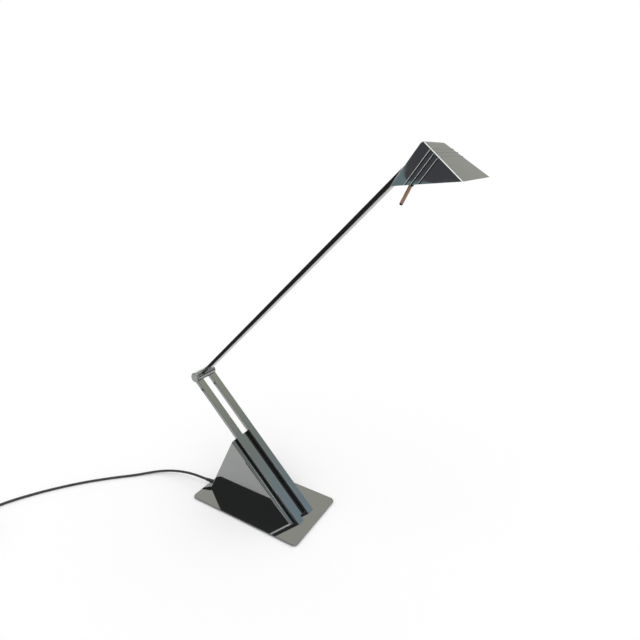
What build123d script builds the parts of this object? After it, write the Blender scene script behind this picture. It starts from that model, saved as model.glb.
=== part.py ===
from build123d import *
import math
import os

# Halogen desk lamp: a weighted plate, a wedge-shaped transformer housing, two slanting legs,
# one long arm and a folded tent shade with a grip under it.
# Millimetres. +X runs from the cord side to the light, +Y to the far side, +Z up.
# The origin is the middle of the underside, on the surface that the lamp stands on.

os.makedirs("parts", exist_ok=True)

# Base plate and the pad under it
PLATE_LENGTH = 242.0
PLATE_WIDTH = 140.0
PLATE_THICK = 3.0
PLATE_CORNER = 9.0
PLATE_EDGE = 0.5
PAD_THICK = 1.2
PAD_INSET = 4.0

# Transformer housing: a folded sheet, open at the foot
HOUSING_SETBACK = 13.0
HOUSING_LENGTH = 195.8
HOUSING_WIDTH = 64.0
FRONT_SLOPE = 45.0
BACK_SLOPE = 64.0
HOUSING_SHEET = 1.2
HOUSING_FOLD = 1.0
FRONT_FOLD = 5.0
TAB_LENGTH = 14.0
TAB_WIDTH = 10.0
TABS_FROM_BACK = (42.0, 152.0)

# Back panel of the housing, with the switch and the cord
PANEL_THICK = 1.2
PANEL_WINDOW_WIDTH = 56.0
PANEL_WINDOW_HEIGHT = 92.0
PANEL_LAP = 6.0
PANEL_SIDE_GAP = 0.3
PANEL_SCREW_SPREAD = 40.0
SWITCH_UP = 55.0
SWITCH_Y = 10.0
SWITCH_WIDTH = 13.8
SWITCH_LENGTH = 18.8
SWITCH_DEPTH = 12.0
SWITCH_WALL = 1.2
SWITCH_RIM = 1.4
SWITCH_RIM_THICK = 1.6
ROCKER_GAP = 0.35
ROCKER_THICK = 5.0
ROCKER_DEPTH = 1.2
ROCKER_TILT = 8.0
TRUNNION_RADIUS = 1.0
TRUNNION_REACH = 0.9

# Transformer inside the housing
CORE_LENGTH = 72.0
CORE_HEIGHT = 60.0
CORE_STACK = 34.0
CORE_FROM_BACK = 84.0
CORE_LIMB = 12.0
WINDING_BULGE = 11.0
WINDING_GAP = 0.4
STRAP_THICK = 1.5
STRAP_WIDTH = 20.0
STRAP_FOOT = 14.0
TERMINAL_LENGTH = 12.0
TERMINAL_WIDTH = 36.0
TERMINAL_HEIGHT = 14.0
TERMINAL_FROM_BACK = 152.0
TERMINAL_WAYS = 4
TERMINAL_SCREW_RADIUS = 2.0
TERMINAL_SCREW_RISE = 0.8

# Legs, elbow and arm, all of the same flat tube
BAR_WIDTH = 15.0
BAR_THICK = 7.0
BAR_WALL = 1.0
BAR_EDGE = 0.8
LEG_SPACING = 33.0
LEG_LENGTH = 323.85
LEG_SCREW_UP = (40.0, 140.0)
LEG_STANDOFF = 1.3
LEG_SPACER_RADIUS = 5.0
BARREL_RADIUS = 9.5
BARREL_EDGE = 1.5
ELBOW_FORWARD = 1.3
ELBOW_PIN_RADIUS = 3.0
ELBOW_CAP_THICK = 2.0
WASHER_THICK = 0.4
SIDE_PLAY = 0.1
PIN_CLEARANCE = 0.05
SPIGOT_LENGTH = 24.0
SPIGOT_GAP = 0.1
ARM_LIFT = 45.35
ARM_LENGTH = 569.6

# Head: tent-shaped shade, narrow at the arm and wide at the light
HEAD_TILT = 6.8
SHADE_LENGTH = 110.1
SHADE_HEIGHT = 50.2
RIDGE_FROM_NECK = 56.0
NECK_WIDTH = 17.1
MOUTH_WIDTH = 130.4
SHADE_SHEET = 1.0
RIDGE_RADIUS = 6.0
SHADE_FOLD = 1.4
BEAD_RADIUS = 1.5
BEAD_SINK = 0.6
BEAD_INNER_CORNER = 0.15
BEAD_SHARES = (0.235, 0.33, 0.435)

# Head joint, hidden inside the shade behind a slot for the arm
PIVOT_UP_BACK = 51.2
PIVOT_DEPTH = 5.4
PIVOT_DROP = 4.9
TONGUE_WIDTH = 8.0
TONGUE_REACH = 12.0
EYE_RADIUS = 4.0
HEAD_PIN_RADIUS = 2.0
HEAD_PIN_HEAD_RADIUS = 3.1
HEAD_PIN_HEAD_THICK = 2.2
HEAD_NUT_THICK = 3.2
SLOT_GAP = 0.35
SLOT_PAST_PIVOT = 6.0
EAR_THICK = 2.0
EAR_RADIUS = 4.2
BRACKET_WIDTH = 22.0
BRACKET_LENGTH = 11.3
BRACKET_GAP = 0.7
RIVET_SPREAD = 16.0
RIVET_RADIUS = 1.5
RIVET_HEAD_RADIUS = 2.7
RIVET_HEAD_THICK = 1.1

# Grip that hangs from the head joint
GRIP_LEAN = 32.6
GRIP_FORWARD = 3.6
WEB_START = 8.0
WEB_THICK = 3.0
WEB_WIDTH = 6.0
STEM_RADIUS = 2.0
COLLAR_START = 30.0
COLLAR_LENGTH = 5.0
COLLAR_RADIUS = 3.4
GRIP_RADIUS = 2.5
GRIP_LENGTH = 25.5
GRIP_TIP_LENGTH = 3.0
GRIP_TIP_ROUNDING = 0.9

# Lamp and reflector
REFLECTOR_FROM_NECK = 66.0
REFLECTOR_UP = 13.0
REFLECTOR_RADIUS = 15.0
REFLECTOR_LENGTH = 54.0
REFLECTOR_SHEET = 0.8
STUD_RADIUS = 2.5
STUD_SPREAD = 28.0
HOLDER_LENGTH = 14.0
HOLDER_WIDTH = 13.0
HOLDER_HEIGHT = 9.0
BULB_UP = 1.5
BULB_RADIUS = 5.75
BULB_LENGTH = 28.0
BULB_PINCH_LENGTH = 7.0
BULB_PINCH_WIDTH = 10.0
BULB_PINCH_THICK = 4.0
BULB_PIN_RADIUS = 0.6
BULB_PIN_SPACING = 6.35
BULB_PIN_LENGTH = 7.0

# Screws
SCREW_RADIUS = 2.0
SCREW_HEAD_RADIUS = 3.5
SCREW_HEAD_THICK = 2.4
SMALL_SCREW_RADIUS = 1.5
SMALL_SCREW_HEAD_RADIUS = 2.8
SMALL_SCREW_HEAD_THICK = 1.4
SCREW_TAIL = 3.0

# Mains lead
CORD_RADIUS = 2.4
FLOOR_GAP = 0.1
BEND_SHARE = 0.45
LEAD_STRAIGHT = 12.0
GLAND_Y = -21.5
GLAND_UP = 7.0
GLAND_RISE = 12.5
GLAND_TURN = 16.0
GLAND_LENGTH = 21.0
GLAND_ROOT_RADIUS = 4.2
GLAND_TIP_RADIUS = 3.0
GLAND_STEM_RADIUS = 3.6
GLAND_NUT_RADIUS = 5.0
GLAND_NUT_THICK = 4.0
TIE_THICK = 1.0
TIE_WIDTH = 5.0
TIE_GAP = 0.9
COIL_CENTRE = (-372.0, -366.0)
COIL_RADIUS = 44.0
COIL_PITCH = 5.4
COIL_LAYER = 5.4
COIL_TURNS = 3
PLUG_LENGTH = 30.0
PLUG_WIDTH = 34.0
PLUG_THICK = 13.7
PLUG_NECK_LENGTH = 20.0
PLUG_NECK_RADIUS = 5.4
PLUG_EDGE = 2.0
PLUG_PIN_RADIUS = 2.0
PLUG_PIN_LENGTH = 19.0
PLUG_PIN_SPACING = 18.6

# Places that several pieces share
BASE_TOP = PAD_THICK + PLATE_THICK
HOUSING_BACK_X = HOUSING_SETBACK - PLATE_LENGTH / 2
HOUSING_FRONT_X = HOUSING_BACK_X + HOUSING_LENGTH
TAB_X = [HOUSING_BACK_X + from_back for from_back in TABS_FROM_BACK]
CORE_X = HOUSING_BACK_X + CORE_FROM_BACK
TERMINAL_X = HOUSING_BACK_X + TERMINAL_FROM_BACK
SIN_FRONT = math.sin(math.radians(FRONT_SLOPE))
COS_FRONT = math.cos(math.radians(FRONT_SLOPE))
SIN_BACK = math.sin(math.radians(BACK_SLOPE))
COS_BACK = math.cos(math.radians(BACK_SLOPE))
OVERCUT = 1.0

leg_up = Vector(-COS_FRONT, 0, SIN_FRONT)
leg_out = Vector(SIN_FRONT, 0, COS_FRONT)
leg_foot = Vector(HOUSING_FRONT_X, 0, BASE_TOP) + leg_out * (LEG_STANDOFF + BAR_THICK / 2)
leg_plane = Plane(leg_foot, x_dir=(0, 1, 0), z_dir=leg_up)
front_plane = Plane((HOUSING_FRONT_X, 0, BASE_TOP), x_dir=(0, 1, 0), z_dir=leg_out)
back_plane = Plane((HOUSING_BACK_X, 0, BASE_TOP), x_dir=(0, -1, 0), z_dir=(-SIN_BACK, 0, COS_BACK))

elbow = leg_foot + leg_up * LEG_LENGTH + leg_out * ELBOW_FORWARD
arm_along = Vector(math.cos(math.radians(ARM_LIFT)), 0, math.sin(math.radians(ARM_LIFT)))
arm_over = Vector(-arm_along.Z, 0, arm_along.X)
arm_plane = Plane(elbow, x_dir=(0, 1, 0), z_dir=arm_along)
arm_side = Plane(elbow, x_dir=arm_along, z_dir=(0, -1, 0))
ARM_TUBE_END = ARM_LENGTH - TONGUE_REACH
KNUCKLE_INNER = (LEG_SPACING - BAR_WIDTH) / 2
KNUCKLE_OUTER = (LEG_SPACING + BAR_WIDTH) / 2
ELBOW_CAP_SEAT = KNUCKLE_OUTER - ELBOW_CAP_THICK
ARM_KNUCKLE_HALF = KNUCKLE_INNER - WASHER_THICK - SIDE_PLAY

# The head is drawn from its neck: x along its mouth, y across, z up
BACK_RISE = math.atan2(SHADE_HEIGHT, RIDGE_FROM_NECK)
back_along = Vector(math.cos(BACK_RISE), 0, math.sin(BACK_RISE))
back_in = Vector(math.sin(BACK_RISE), 0, -math.cos(BACK_RISE))
pivot = back_along * PIVOT_UP_BACK + back_in * PIVOT_DEPTH
head_forward = Vector(math.cos(math.radians(HEAD_TILT)), 0, math.sin(math.radians(HEAD_TILT)))
head_up = Vector(-head_forward.Z, 0, head_forward.X)
head_joint = elbow + arm_along * ARM_LENGTH - arm_over * PIVOT_DROP
neck = head_joint - head_forward * pivot.X - head_up * pivot.Z
head_place = Plane(neck, x_dir=head_forward, z_dir=head_up).location
shade_back = Plane((0, 0, 0), x_dir=back_along, z_dir=(0, -1, 0))
EAR_INNER = TONGUE_WIDTH / 2 + WASHER_THICK + SIDE_PLAY
EAR_OUTER = EAR_INNER + EAR_THICK
grip_down = Vector(-math.sin(math.radians(GRIP_LEAN)), 0, -math.cos(math.radians(GRIP_LEAN)))
grip_front = Vector(-grip_down.Z, 0, grip_down.X)
grip_top = pivot + grip_front * GRIP_FORWARD

GLAND_ROOT_X = HOUSING_BACK_X + (GLAND_UP * COS_BACK + HOUSING_SHEET) / SIN_BACK
gland_root = Vector(GLAND_ROOT_X, GLAND_Y, BASE_TOP + GLAND_UP)
gland_axis = Vector(-math.cos(math.radians(GLAND_TURN)), -math.sin(math.radians(GLAND_TURN)),
                    math.tan(math.radians(GLAND_RISE))).normalized()
gland_tip = gland_root + gland_axis * GLAND_LENGTH


def save(shape, node):
    export_step(shape, f"parts/{node}.step")


def group(solids):
    return Compound(children=list(solids))


def rod(start, along, radius, length):
    """Cylinder from a point along a direction."""
    plane = Plane(start, z_dir=along)
    return plane * Cylinder(radius, length, align=(Align.CENTER, Align.CENTER, Align.MIN))


def rod_across(centre, radius, y_from, y_to):
    """Cylinder along Y between two values of Y, round a point of the middle plane."""
    return rod((centre.X, y_from, centre.Z), (0, 1, 0), radius, y_to - y_from)


def screw(start, along, shank_radius, shank_length, head_radius, head_thick):
    """Screw whose head stands on a point and whose shank runs along the direction."""
    shank = rod(start, along, shank_radius, shank_length)
    return shank + rod(start, Vector(along) * -1, head_radius, head_thick)


# Base plate and pad

def rounded_plate(length, width, corner, thick, z):
    return Pos(0, 0, z) * extrude(RectangleRounded(length, width, corner), thick)


def tab_screw_points():
    half = HOUSING_WIDTH / 2 - HOUSING_SHEET - TAB_WIDTH / 2
    return [(x, side * half) for x in TAB_X for side in (-1, 1)]


def strap_screw_points():
    reach = CORE_LENGTH / 2 + STRAP_THICK + STRAP_FOOT / 2
    return [(CORE_X + side * reach, 0) for side in (-1, 1)]


def base_pad():
    inset = 2 * PAD_INSET
    return rounded_plate(PLATE_LENGTH - inset, PLATE_WIDTH - inset, PLATE_CORNER - PAD_INSET, PAD_THICK, 0)


def base_plate():
    plate = rounded_plate(PLATE_LENGTH, PLATE_WIDTH, PLATE_CORNER, PLATE_THICK, PAD_THICK)
    plate = chamfer(plate.faces().sort_by(Axis.Z)[-1].edges(), PLATE_EDGE)
    for x, y in tab_screw_points():
        plate -= rod((x, y, PAD_THICK), (0, 0, 1), SMALL_SCREW_RADIUS, PLATE_THICK)
        plate -= rod((x, y, PAD_THICK), (0, 0, 1), SMALL_SCREW_HEAD_RADIUS, SMALL_SCREW_HEAD_THICK)
    for x, y in strap_screw_points():
        plate -= rod((x, y, PAD_THICK), (0, 0, 1), SCREW_RADIUS, PLATE_THICK)
    return plate


# Transformer housing

def housing_block(inset, drop):
    """Triangular block of the housing, inset from its sides and carried down past its foot."""
    front = HOUSING_FRONT_X - inset / SIN_FRONT + drop * COS_FRONT / SIN_FRONT
    back = HOUSING_BACK_X + inset / SIN_BACK - drop * COS_BACK / SIN_BACK
    foot = BASE_TOP - drop
    rise = (front - back) / (COS_FRONT / SIN_FRONT + COS_BACK / SIN_BACK)
    peak = (back + rise * COS_BACK / SIN_BACK, foot + rise)
    side = Plane.XZ * Polygon((back, foot), (front, foot), peak, align=None)
    block = extrude(side, HOUSING_WIDTH / 2 - inset, both=True)
    front_face = max(block.faces(), key=lambda face: face.normal_at().dot(leg_out))
    folds = [edge for edge in front_face.edges() if abs(edge.center().Y) > HOUSING_WIDTH / 4]
    return fillet(folds, FRONT_FOLD - inset)


def leg_screw_points():
    """Points of the front face behind the legs, in the face's own plane."""
    return [(side * LEG_SPACING / 2, up) for side in (-1, 1) for up in LEG_SCREW_UP]


def leg_screw(y, up):
    start = front_plane.from_local_coords(Vector(y, up, -HOUSING_SHEET))
    length = HOUSING_SHEET + LEG_STANDOFF + BAR_WALL + SCREW_TAIL
    return screw(start, leg_out, SCREW_RADIUS, length, SCREW_HEAD_RADIUS, SCREW_HEAD_THICK)


def panel_screw(side):
    up = PANEL_WINDOW_HEIGHT + PANEL_LAP / 2
    start = back_plane.from_local_coords(Vector(side * PANEL_SCREW_SPREAD / 2, up, 0))
    length = HOUSING_SHEET + PANEL_THICK + SCREW_TAIL
    inward = back_plane.z_dir * -1
    return screw(start, inward, SMALL_SCREW_RADIUS, length, SMALL_SCREW_HEAD_RADIUS, SMALL_SCREW_HEAD_THICK)


def housing_screw(x, y):
    length = PLATE_THICK + HOUSING_SHEET - SMALL_SCREW_HEAD_THICK
    start = (x, y, PAD_THICK + SMALL_SCREW_HEAD_THICK)
    return screw(start, (0, 0, 1), SMALL_SCREW_RADIUS, length, SMALL_SCREW_HEAD_RADIUS, SMALL_SCREW_HEAD_THICK)


def housing_shell():
    block = housing_block(0, 0)
    back_face = max(block.faces(), key=lambda face: face.normal_at().dot(back_plane.z_dir))
    folds = [edge for edge in back_face.edges() if edge.center().Z > BASE_TOP + OVERCUT]
    shell = fillet(folds, HOUSING_FOLD) - housing_block(HOUSING_SHEET, OVERCUT)
    window_height = PANEL_WINDOW_HEIGHT + PANEL_WINDOW_WIDTH
    window = Box(PANEL_WINDOW_WIDTH, window_height, 2 * HOUSING_SHEET + OVERCUT)
    shell -= back_plane * Pos(0, PANEL_WINDOW_HEIGHT - window_height / 2, 0) * window
    inner = HOUSING_WIDTH / 2 - HOUSING_SHEET
    for x in TAB_X:
        for side in (-1, 1):
            tab = Box(TAB_LENGTH, TAB_WIDTH, HOUSING_SHEET, align=(Align.CENTER, Align.CENTER, Align.MIN))
            shell += Pos(x, side * (inner - TAB_WIDTH / 2), BASE_TOP) * tab
    for x, y in tab_screw_points():
        shell -= housing_screw(x, y)
    for y, up in leg_screw_points():
        shell -= leg_screw(y, up)
    for side in (-1, 1):
        shell -= panel_screw(side)
    return shell


def panel_slab(width, low, high):
    """Sheet lying against the inside of the housing's back."""
    slab = Box(width, high - low, PANEL_THICK)
    return back_plane * Pos(0, (low + high) / 2, -HOUSING_SHEET - PANEL_THICK / 2) * slab


def switch_plane():
    """Plane of the panel's outer face at the switch."""
    return Plane(back_plane.from_local_coords(Vector(-SWITCH_Y, SWITCH_UP, -HOUSING_SHEET)),
                 x_dir=(0, -1, 0), z_dir=back_plane.z_dir)


def back_panel():
    low = (HOUSING_SHEET + PANEL_THICK) * COS_BACK / SIN_BACK
    width = HOUSING_WIDTH - 2 * HOUSING_SHEET - 2 * PANEL_SIDE_GAP
    panel = panel_slab(width, low, PANEL_WINDOW_HEIGHT + PANEL_LAP)
    panel -= switch_plane() * Box(SWITCH_WIDTH, SWITCH_LENGTH, 4 * PANEL_THICK)
    panel -= rod(gland_tip, gland_axis * -1, GLAND_STEM_RADIUS, 2 * GLAND_LENGTH)
    for side in (-1, 1):
        panel -= panel_screw(side)
    return panel


# Switch

def trunnion_line(plane, half_length, radius):
    start = plane.from_local_coords(Vector(-half_length, 0, -ROCKER_DEPTH))
    return rod(start, plane.x_dir, radius, 2 * half_length)


def switch_body():
    plane = switch_plane()
    lower = (Align.CENTER, Align.CENTER, Align.MAX)
    rim_width = SWITCH_WIDTH + 2 * SWITCH_RIM
    rim_length = SWITCH_LENGTH + 2 * SWITCH_RIM
    rim = Pos(0, 0, SWITCH_RIM_THICK) * Box(rim_width, rim_length, SWITCH_RIM_THICK, align=lower)
    case = Box(SWITCH_WIDTH, SWITCH_LENGTH, SWITCH_DEPTH, align=lower)
    well_depth = SWITCH_DEPTH + SWITCH_RIM_THICK - SWITCH_WALL
    well = Box(SWITCH_WIDTH - 2 * SWITCH_WALL, SWITCH_LENGTH - 2 * SWITCH_WALL, well_depth, align=lower)
    body = plane * (rim + case - Pos(0, 0, SWITCH_RIM_THICK) * well)
    reach = SWITCH_WIDTH / 2 - SWITCH_WALL + TRUNNION_REACH
    return body - trunnion_line(plane, reach, TRUNNION_RADIUS + PIN_CLEARANCE)


def switch_rocker():
    """Rocker at its off end: it turns by twice its tilt to the on end."""
    plane = switch_plane()
    width = SWITCH_WIDTH - 2 * SWITCH_WALL - 2 * ROCKER_GAP
    swing = SWITCH_LENGTH / 2 - SWITCH_WALL - ROCKER_GAP
    rise = swing * math.tan(math.radians(ROCKER_TILT))
    top = SWITCH_RIM_THICK
    half = math.sqrt(swing ** 2 - (top + rise + ROCKER_DEPTH) ** 2)
    low = top - ROCKER_THICK
    outline = Polygon((-half, low), (half, low), (half, top + rise), (0, top), (-half, top + rise), align=None)
    key = extrude(Plane.YZ * outline, width / 2, both=True)
    key = Pos(0, 0, -ROCKER_DEPTH) * Rot(ROCKER_TILT, 0, 0) * Pos(0, 0, ROCKER_DEPTH) * key
    reach = SWITCH_WIDTH / 2 - SWITCH_WALL + TRUNNION_REACH - SIDE_PLAY
    return plane * key + trunnion_line(plane, reach, TRUNNION_RADIUS)


# Transformer

def transformer_core():
    half_window = (CORE_LENGTH - 4 * CORE_LIMB) / 4
    core = Box(CORE_LENGTH, CORE_STACK, CORE_HEIGHT)
    for side in (-1, 1):
        window = Box(2 * half_window, CORE_STACK, CORE_HEIGHT - 2 * CORE_LIMB)
        core -= Pos(side * (CORE_LIMB + half_window), 0, 0) * window
    return Pos(CORE_X, 0, BASE_TOP + CORE_HEIGHT / 2) * core


def transformer_winding():
    length = CORE_LENGTH - 2 * CORE_LIMB - 2 * WINDING_GAP
    width = CORE_STACK + 2 * WINDING_BULGE
    height = CORE_HEIGHT - 2 * CORE_LIMB - WINDING_GAP
    block = extrude(RectangleRounded(length, width, WINDING_BULGE / 2), height)
    limb = Rectangle(2 * CORE_LIMB + 2 * WINDING_GAP, CORE_STACK + 2 * WINDING_GAP)
    return Pos(CORE_X, 0, BASE_TOP + CORE_LIMB) * (block - extrude(limb, height))


def transformer_strap():
    half = CORE_LENGTH / 2
    outside = half + STRAP_THICK
    foot = outside + STRAP_FOOT
    line = Polyline((-foot, 0), (-half, 0), (-half, CORE_HEIGHT), (half, CORE_HEIGHT), (half, 0), (foot, 0),
                    (foot, STRAP_THICK), (outside, STRAP_THICK), (outside, CORE_HEIGHT + STRAP_THICK),
                    (-outside, CORE_HEIGHT + STRAP_THICK), (-outside, STRAP_THICK), (-foot, STRAP_THICK),
                    close=True)
    strap = extrude(Plane.XZ * make_face(line), STRAP_WIDTH / 2, both=True)
    strap = Pos(CORE_X, 0, BASE_TOP) * strap
    for x, y in strap_screw_points():
        strap -= rod((x, y, BASE_TOP), (0, 0, 1), SCREW_RADIUS, STRAP_THICK)
    return strap


def strap_screw(x, y):
    start = (x, y, BASE_TOP + STRAP_THICK)
    length = STRAP_THICK + PLATE_THICK
    return screw(start, (0, 0, -1), SCREW_RADIUS, length, SCREW_HEAD_RADIUS, SCREW_HEAD_THICK)


def terminal_screw(way):
    step = TERMINAL_WIDTH / TERMINAL_WAYS
    y = (way - (TERMINAL_WAYS - 1) / 2) * step
    start = (TERMINAL_X, y, BASE_TOP + TERMINAL_HEIGHT / 2)
    return rod(start, (0, 0, 1), TERMINAL_SCREW_RADIUS, TERMINAL_HEIGHT / 2 + TERMINAL_SCREW_RISE)


def terminal_block():
    foot = (Align.CENTER, Align.CENTER, Align.MIN)
    block = Pos(TERMINAL_X, 0, BASE_TOP) * Box(TERMINAL_LENGTH, TERMINAL_WIDTH, TERMINAL_HEIGHT, align=foot)
    for way in range(TERMINAL_WAYS):
        block -= terminal_screw(way)
    return block


# Legs and elbow

def bar(start, end):
    """Flat tube along local z."""
    outer = extrude(RectangleRounded(BAR_WIDTH, BAR_THICK, BAR_EDGE), end - start)
    inner = extrude(Rectangle(BAR_WIDTH - 2 * BAR_WALL, BAR_THICK - 2 * BAR_WALL), end - start)
    return Pos(0, 0, start) * (outer - inner)


def spigot(start, end):
    """Block that fills the end of a flat tube."""
    width = BAR_WIDTH - 2 * BAR_WALL - 2 * SPIGOT_GAP
    thick = BAR_THICK - 2 * BAR_WALL - 2 * SPIGOT_GAP
    return Pos(0, 0, start) * extrude(Rectangle(width, thick), end - start)


def barrel(radius, y_from, y_to):
    return rod_across(elbow, radius, y_from, y_to)


def leg(side):
    tube = leg_plane * Pos(side * LEG_SPACING / 2, 0, 0) * bar(-2 * BAR_THICK, LEG_LENGTH)
    tube -= barrel(BARREL_RADIUS, -KNUCKLE_OUTER - OVERCUT, KNUCKLE_OUTER + OVERCUT)
    under = Box(PLATE_LENGTH, PLATE_WIDTH, 4 * BAR_THICK, align=(Align.CENTER, Align.CENTER, Align.MAX))
    tube -= Pos(0, 0, BASE_TOP) * under
    for y, up in leg_screw_points():
        tube -= leg_screw(y, up)
    return tube


def leg_spacer(y, up):
    """Ring on a leg's screw, between the housing and the leg."""
    start = front_plane.from_local_coords(Vector(y, up, 0))
    return rod(start, leg_out, LEG_SPACER_RADIUS, LEG_STANDOFF) - leg_screw(y, up)


def cap_ends(side):
    return sorted((side * ELBOW_CAP_SEAT, side * KNUCKLE_OUTER))


def leg_knuckle(side):
    ends = sorted((side * KNUCKLE_INNER, side * ELBOW_CAP_SEAT))
    body = barrel(BARREL_RADIUS, *ends)
    root = LEG_LENGTH - BARREL_RADIUS - SPIGOT_LENGTH
    body += leg_plane * Pos(side * LEG_SPACING / 2, 0, 0) * spigot(root, LEG_LENGTH)
    body -= barrel(BARREL_RADIUS, *cap_ends(side))
    return body - barrel(ELBOW_PIN_RADIUS + PIN_CLEARANCE, *ends)


def elbow_pin():
    return barrel(ELBOW_PIN_RADIUS, -ELBOW_CAP_SEAT, ELBOW_CAP_SEAT)


def elbow_cap(side):
    """Flat end of the barrel, level with the outer side of the leg."""
    cap = barrel(BARREL_RADIUS, *cap_ends(side))
    rim = [edge for edge in cap.edges() if abs(edge.center().Y - side * KNUCKLE_OUTER) < SIDE_PLAY]
    return fillet(rim, BARREL_EDGE)


def elbow_washer(side):
    ends = sorted((side * KNUCKLE_INNER, side * (KNUCKLE_INNER - WASHER_THICK)))
    ring = barrel(BARREL_RADIUS - BARREL_EDGE, *ends)
    return ring - barrel(ELBOW_PIN_RADIUS + PIN_CLEARANCE, *ends)


# Arm

def arm_knuckle():
    body = barrel(BARREL_RADIUS, -ARM_KNUCKLE_HALF, ARM_KNUCKLE_HALF)
    body += arm_plane * spigot(0, BARREL_RADIUS + SPIGOT_LENGTH)
    return body - barrel(ELBOW_PIN_RADIUS + PIN_CLEARANCE, -ARM_KNUCKLE_HALF, ARM_KNUCKLE_HALF)


def arm_tube():
    return arm_plane * bar(0, ARM_TUBE_END) - barrel(BARREL_RADIUS, -KNUCKLE_OUTER, KNUCKLE_OUTER)


def arm_tongue():
    """Tongue at the top of the arm, whose eye turns on the head's pin."""
    half = BAR_THICK / 2 - BAR_WALL
    cheek = Polygon((ARM_TUBE_END, -half), (ARM_LENGTH, -PIVOT_DROP - EYE_RADIUS),
                    (ARM_LENGTH, EYE_RADIUS - PIVOT_DROP), (ARM_TUBE_END, half), align=None)
    eye = Pos(ARM_LENGTH, -PIVOT_DROP) * Circle(EYE_RADIUS)
    tongue = extrude(arm_side * (cheek + eye), TONGUE_WIDTH / 2, both=True)
    tongue += arm_plane * spigot(ARM_TUBE_END - SPIGOT_LENGTH, ARM_TUBE_END)
    bore = rod_across(head_joint, HEAD_PIN_RADIUS + PIN_CLEARANCE, -TONGUE_WIDTH, TONGUE_WIDTH)
    return tongue - bore


# Shade, in the head's own frame

FRONT_RISE = math.atan2(SHADE_HEIGHT, SHADE_LENGTH - RIDGE_FROM_NECK)
SIDE_FLARE = math.atan2(MOUTH_WIDTH - NECK_WIDTH, 2 * SHADE_LENGTH)


def shade_half_width(from_neck, inset):
    """Half the shade's width at a distance from its neck, inset from its sides."""
    return NECK_WIDTH / 2 + from_neck * math.tan(SIDE_FLARE) - inset / math.cos(SIDE_FLARE)


def shade_peak(back, inset):
    """Where a plane that rises from the mouth like the back panel meets the inset front panel: x and height."""
    front = SHADE_LENGTH - inset / math.sin(FRONT_RISE)
    rise = (front - back) / (1 / math.tan(BACK_RISE) + 1 / math.tan(FRONT_RISE))
    return back + rise / math.tan(BACK_RISE), rise


def shade_block(inset, drop, ridge_radius):
    """Tent-shaped block, inset from its panels and carried down past its mouth."""
    back_foot = inset / math.sin(BACK_RISE)
    back = back_foot - drop / math.tan(BACK_RISE)
    front = SHADE_LENGTH - inset / math.sin(FRONT_RISE) + drop / math.tan(FRONT_RISE)
    side = Plane.XZ * Polygon((back, -drop), (front, -drop), shade_peak(back_foot, inset), align=None)
    tent = extrude(side, MOUTH_WIDTH, both=True)
    ridge_edge = tent.edges().filter_by(Axis.Y).sort_by(Axis.Z)[-1]
    tent = fillet(ridge_edge, ridge_radius)
    near_side = [(x, -shade_half_width(x, inset)) for x in (back - OVERCUT, front + OVERCUT)]
    far_side = [(x, -y) for x, y in reversed(near_side)]
    plan = Polygon(*near_side, *far_side, align=None)
    walls = Pos(0, 0, -SHADE_HEIGHT) * extrude(plan, 3 * SHADE_HEIGHT)
    return tent & walls


def shade_bead(share):
    """Raised bead round three panels, in a plane parallel to the back panel."""
    low_x = share * SHADE_LENGTH
    fold_x, fold_z = shade_peak(low_x, BEAD_SINK)
    low = Vector(low_x, -shade_half_width(low_x, BEAD_SINK), 0)
    fold = Vector(fold_x, -shade_half_width(fold_x, BEAD_SINK), fold_z)
    low += (low - fold).normalized() * 2 * BEAD_RADIUS
    near_side = [low, fold]
    far_side = [Vector(point.X, -point.Y, point.Z) for point in reversed(near_side)]
    path = FilletPolyline(*near_side, *far_side, radius=BEAD_RADIUS + BEAD_INNER_CORNER)
    return sweep((path ^ 0) * Circle(BEAD_RADIUS), path=path)


def bracket_rivet(side):
    middle = PIVOT_UP_BACK + SLOT_PAST_PIVOT + BRACKET_GAP + BRACKET_LENGTH / 2
    outside = back_along * middle + Vector(0, side * RIVET_SPREAD / 2, 0)
    inside = outside + back_in * (SHADE_SHEET + EAR_THICK)
    rivet = rod(outside, back_in, RIVET_RADIUS, SHADE_SHEET + EAR_THICK)
    rivet += rod(outside, back_in * -1, RIVET_HEAD_RADIUS, RIVET_HEAD_THICK)
    return rivet + rod(inside, back_in, RIVET_HEAD_RADIUS, RIVET_HEAD_THICK)


def shade():
    outer = shade_block(0, 0, RIDGE_RADIUS)
    folds = [edge for edge in outer.edges()
             if abs(edge.center().Y) > NECK_WIDTH / 2 and edge.center().Z > SHADE_SHEET]
    outer = fillet(folds, SHADE_FOLD)
    for share in BEAD_SHARES:
        outer += shade_bead(share)
    below = Box(4 * SHADE_LENGTH, 4 * MOUTH_WIDTH, SHADE_HEIGHT, align=(Align.CENTER, Align.CENTER, Align.MAX))
    tent = outer - below - shade_block(SHADE_SHEET, OVERCUT, RIDGE_RADIUS - SHADE_SHEET)
    slot_top = PIVOT_UP_BACK + SLOT_PAST_PIVOT
    slot = extrude(Rectangle(2 * slot_top, 4 * SHADE_SHEET), BAR_WIDTH / 2 + SLOT_GAP, both=True)
    tent -= shade_back * slot
    for side in (-1, 1):
        tent -= bracket_rivet(side)
    return tent


# Head joint

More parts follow.
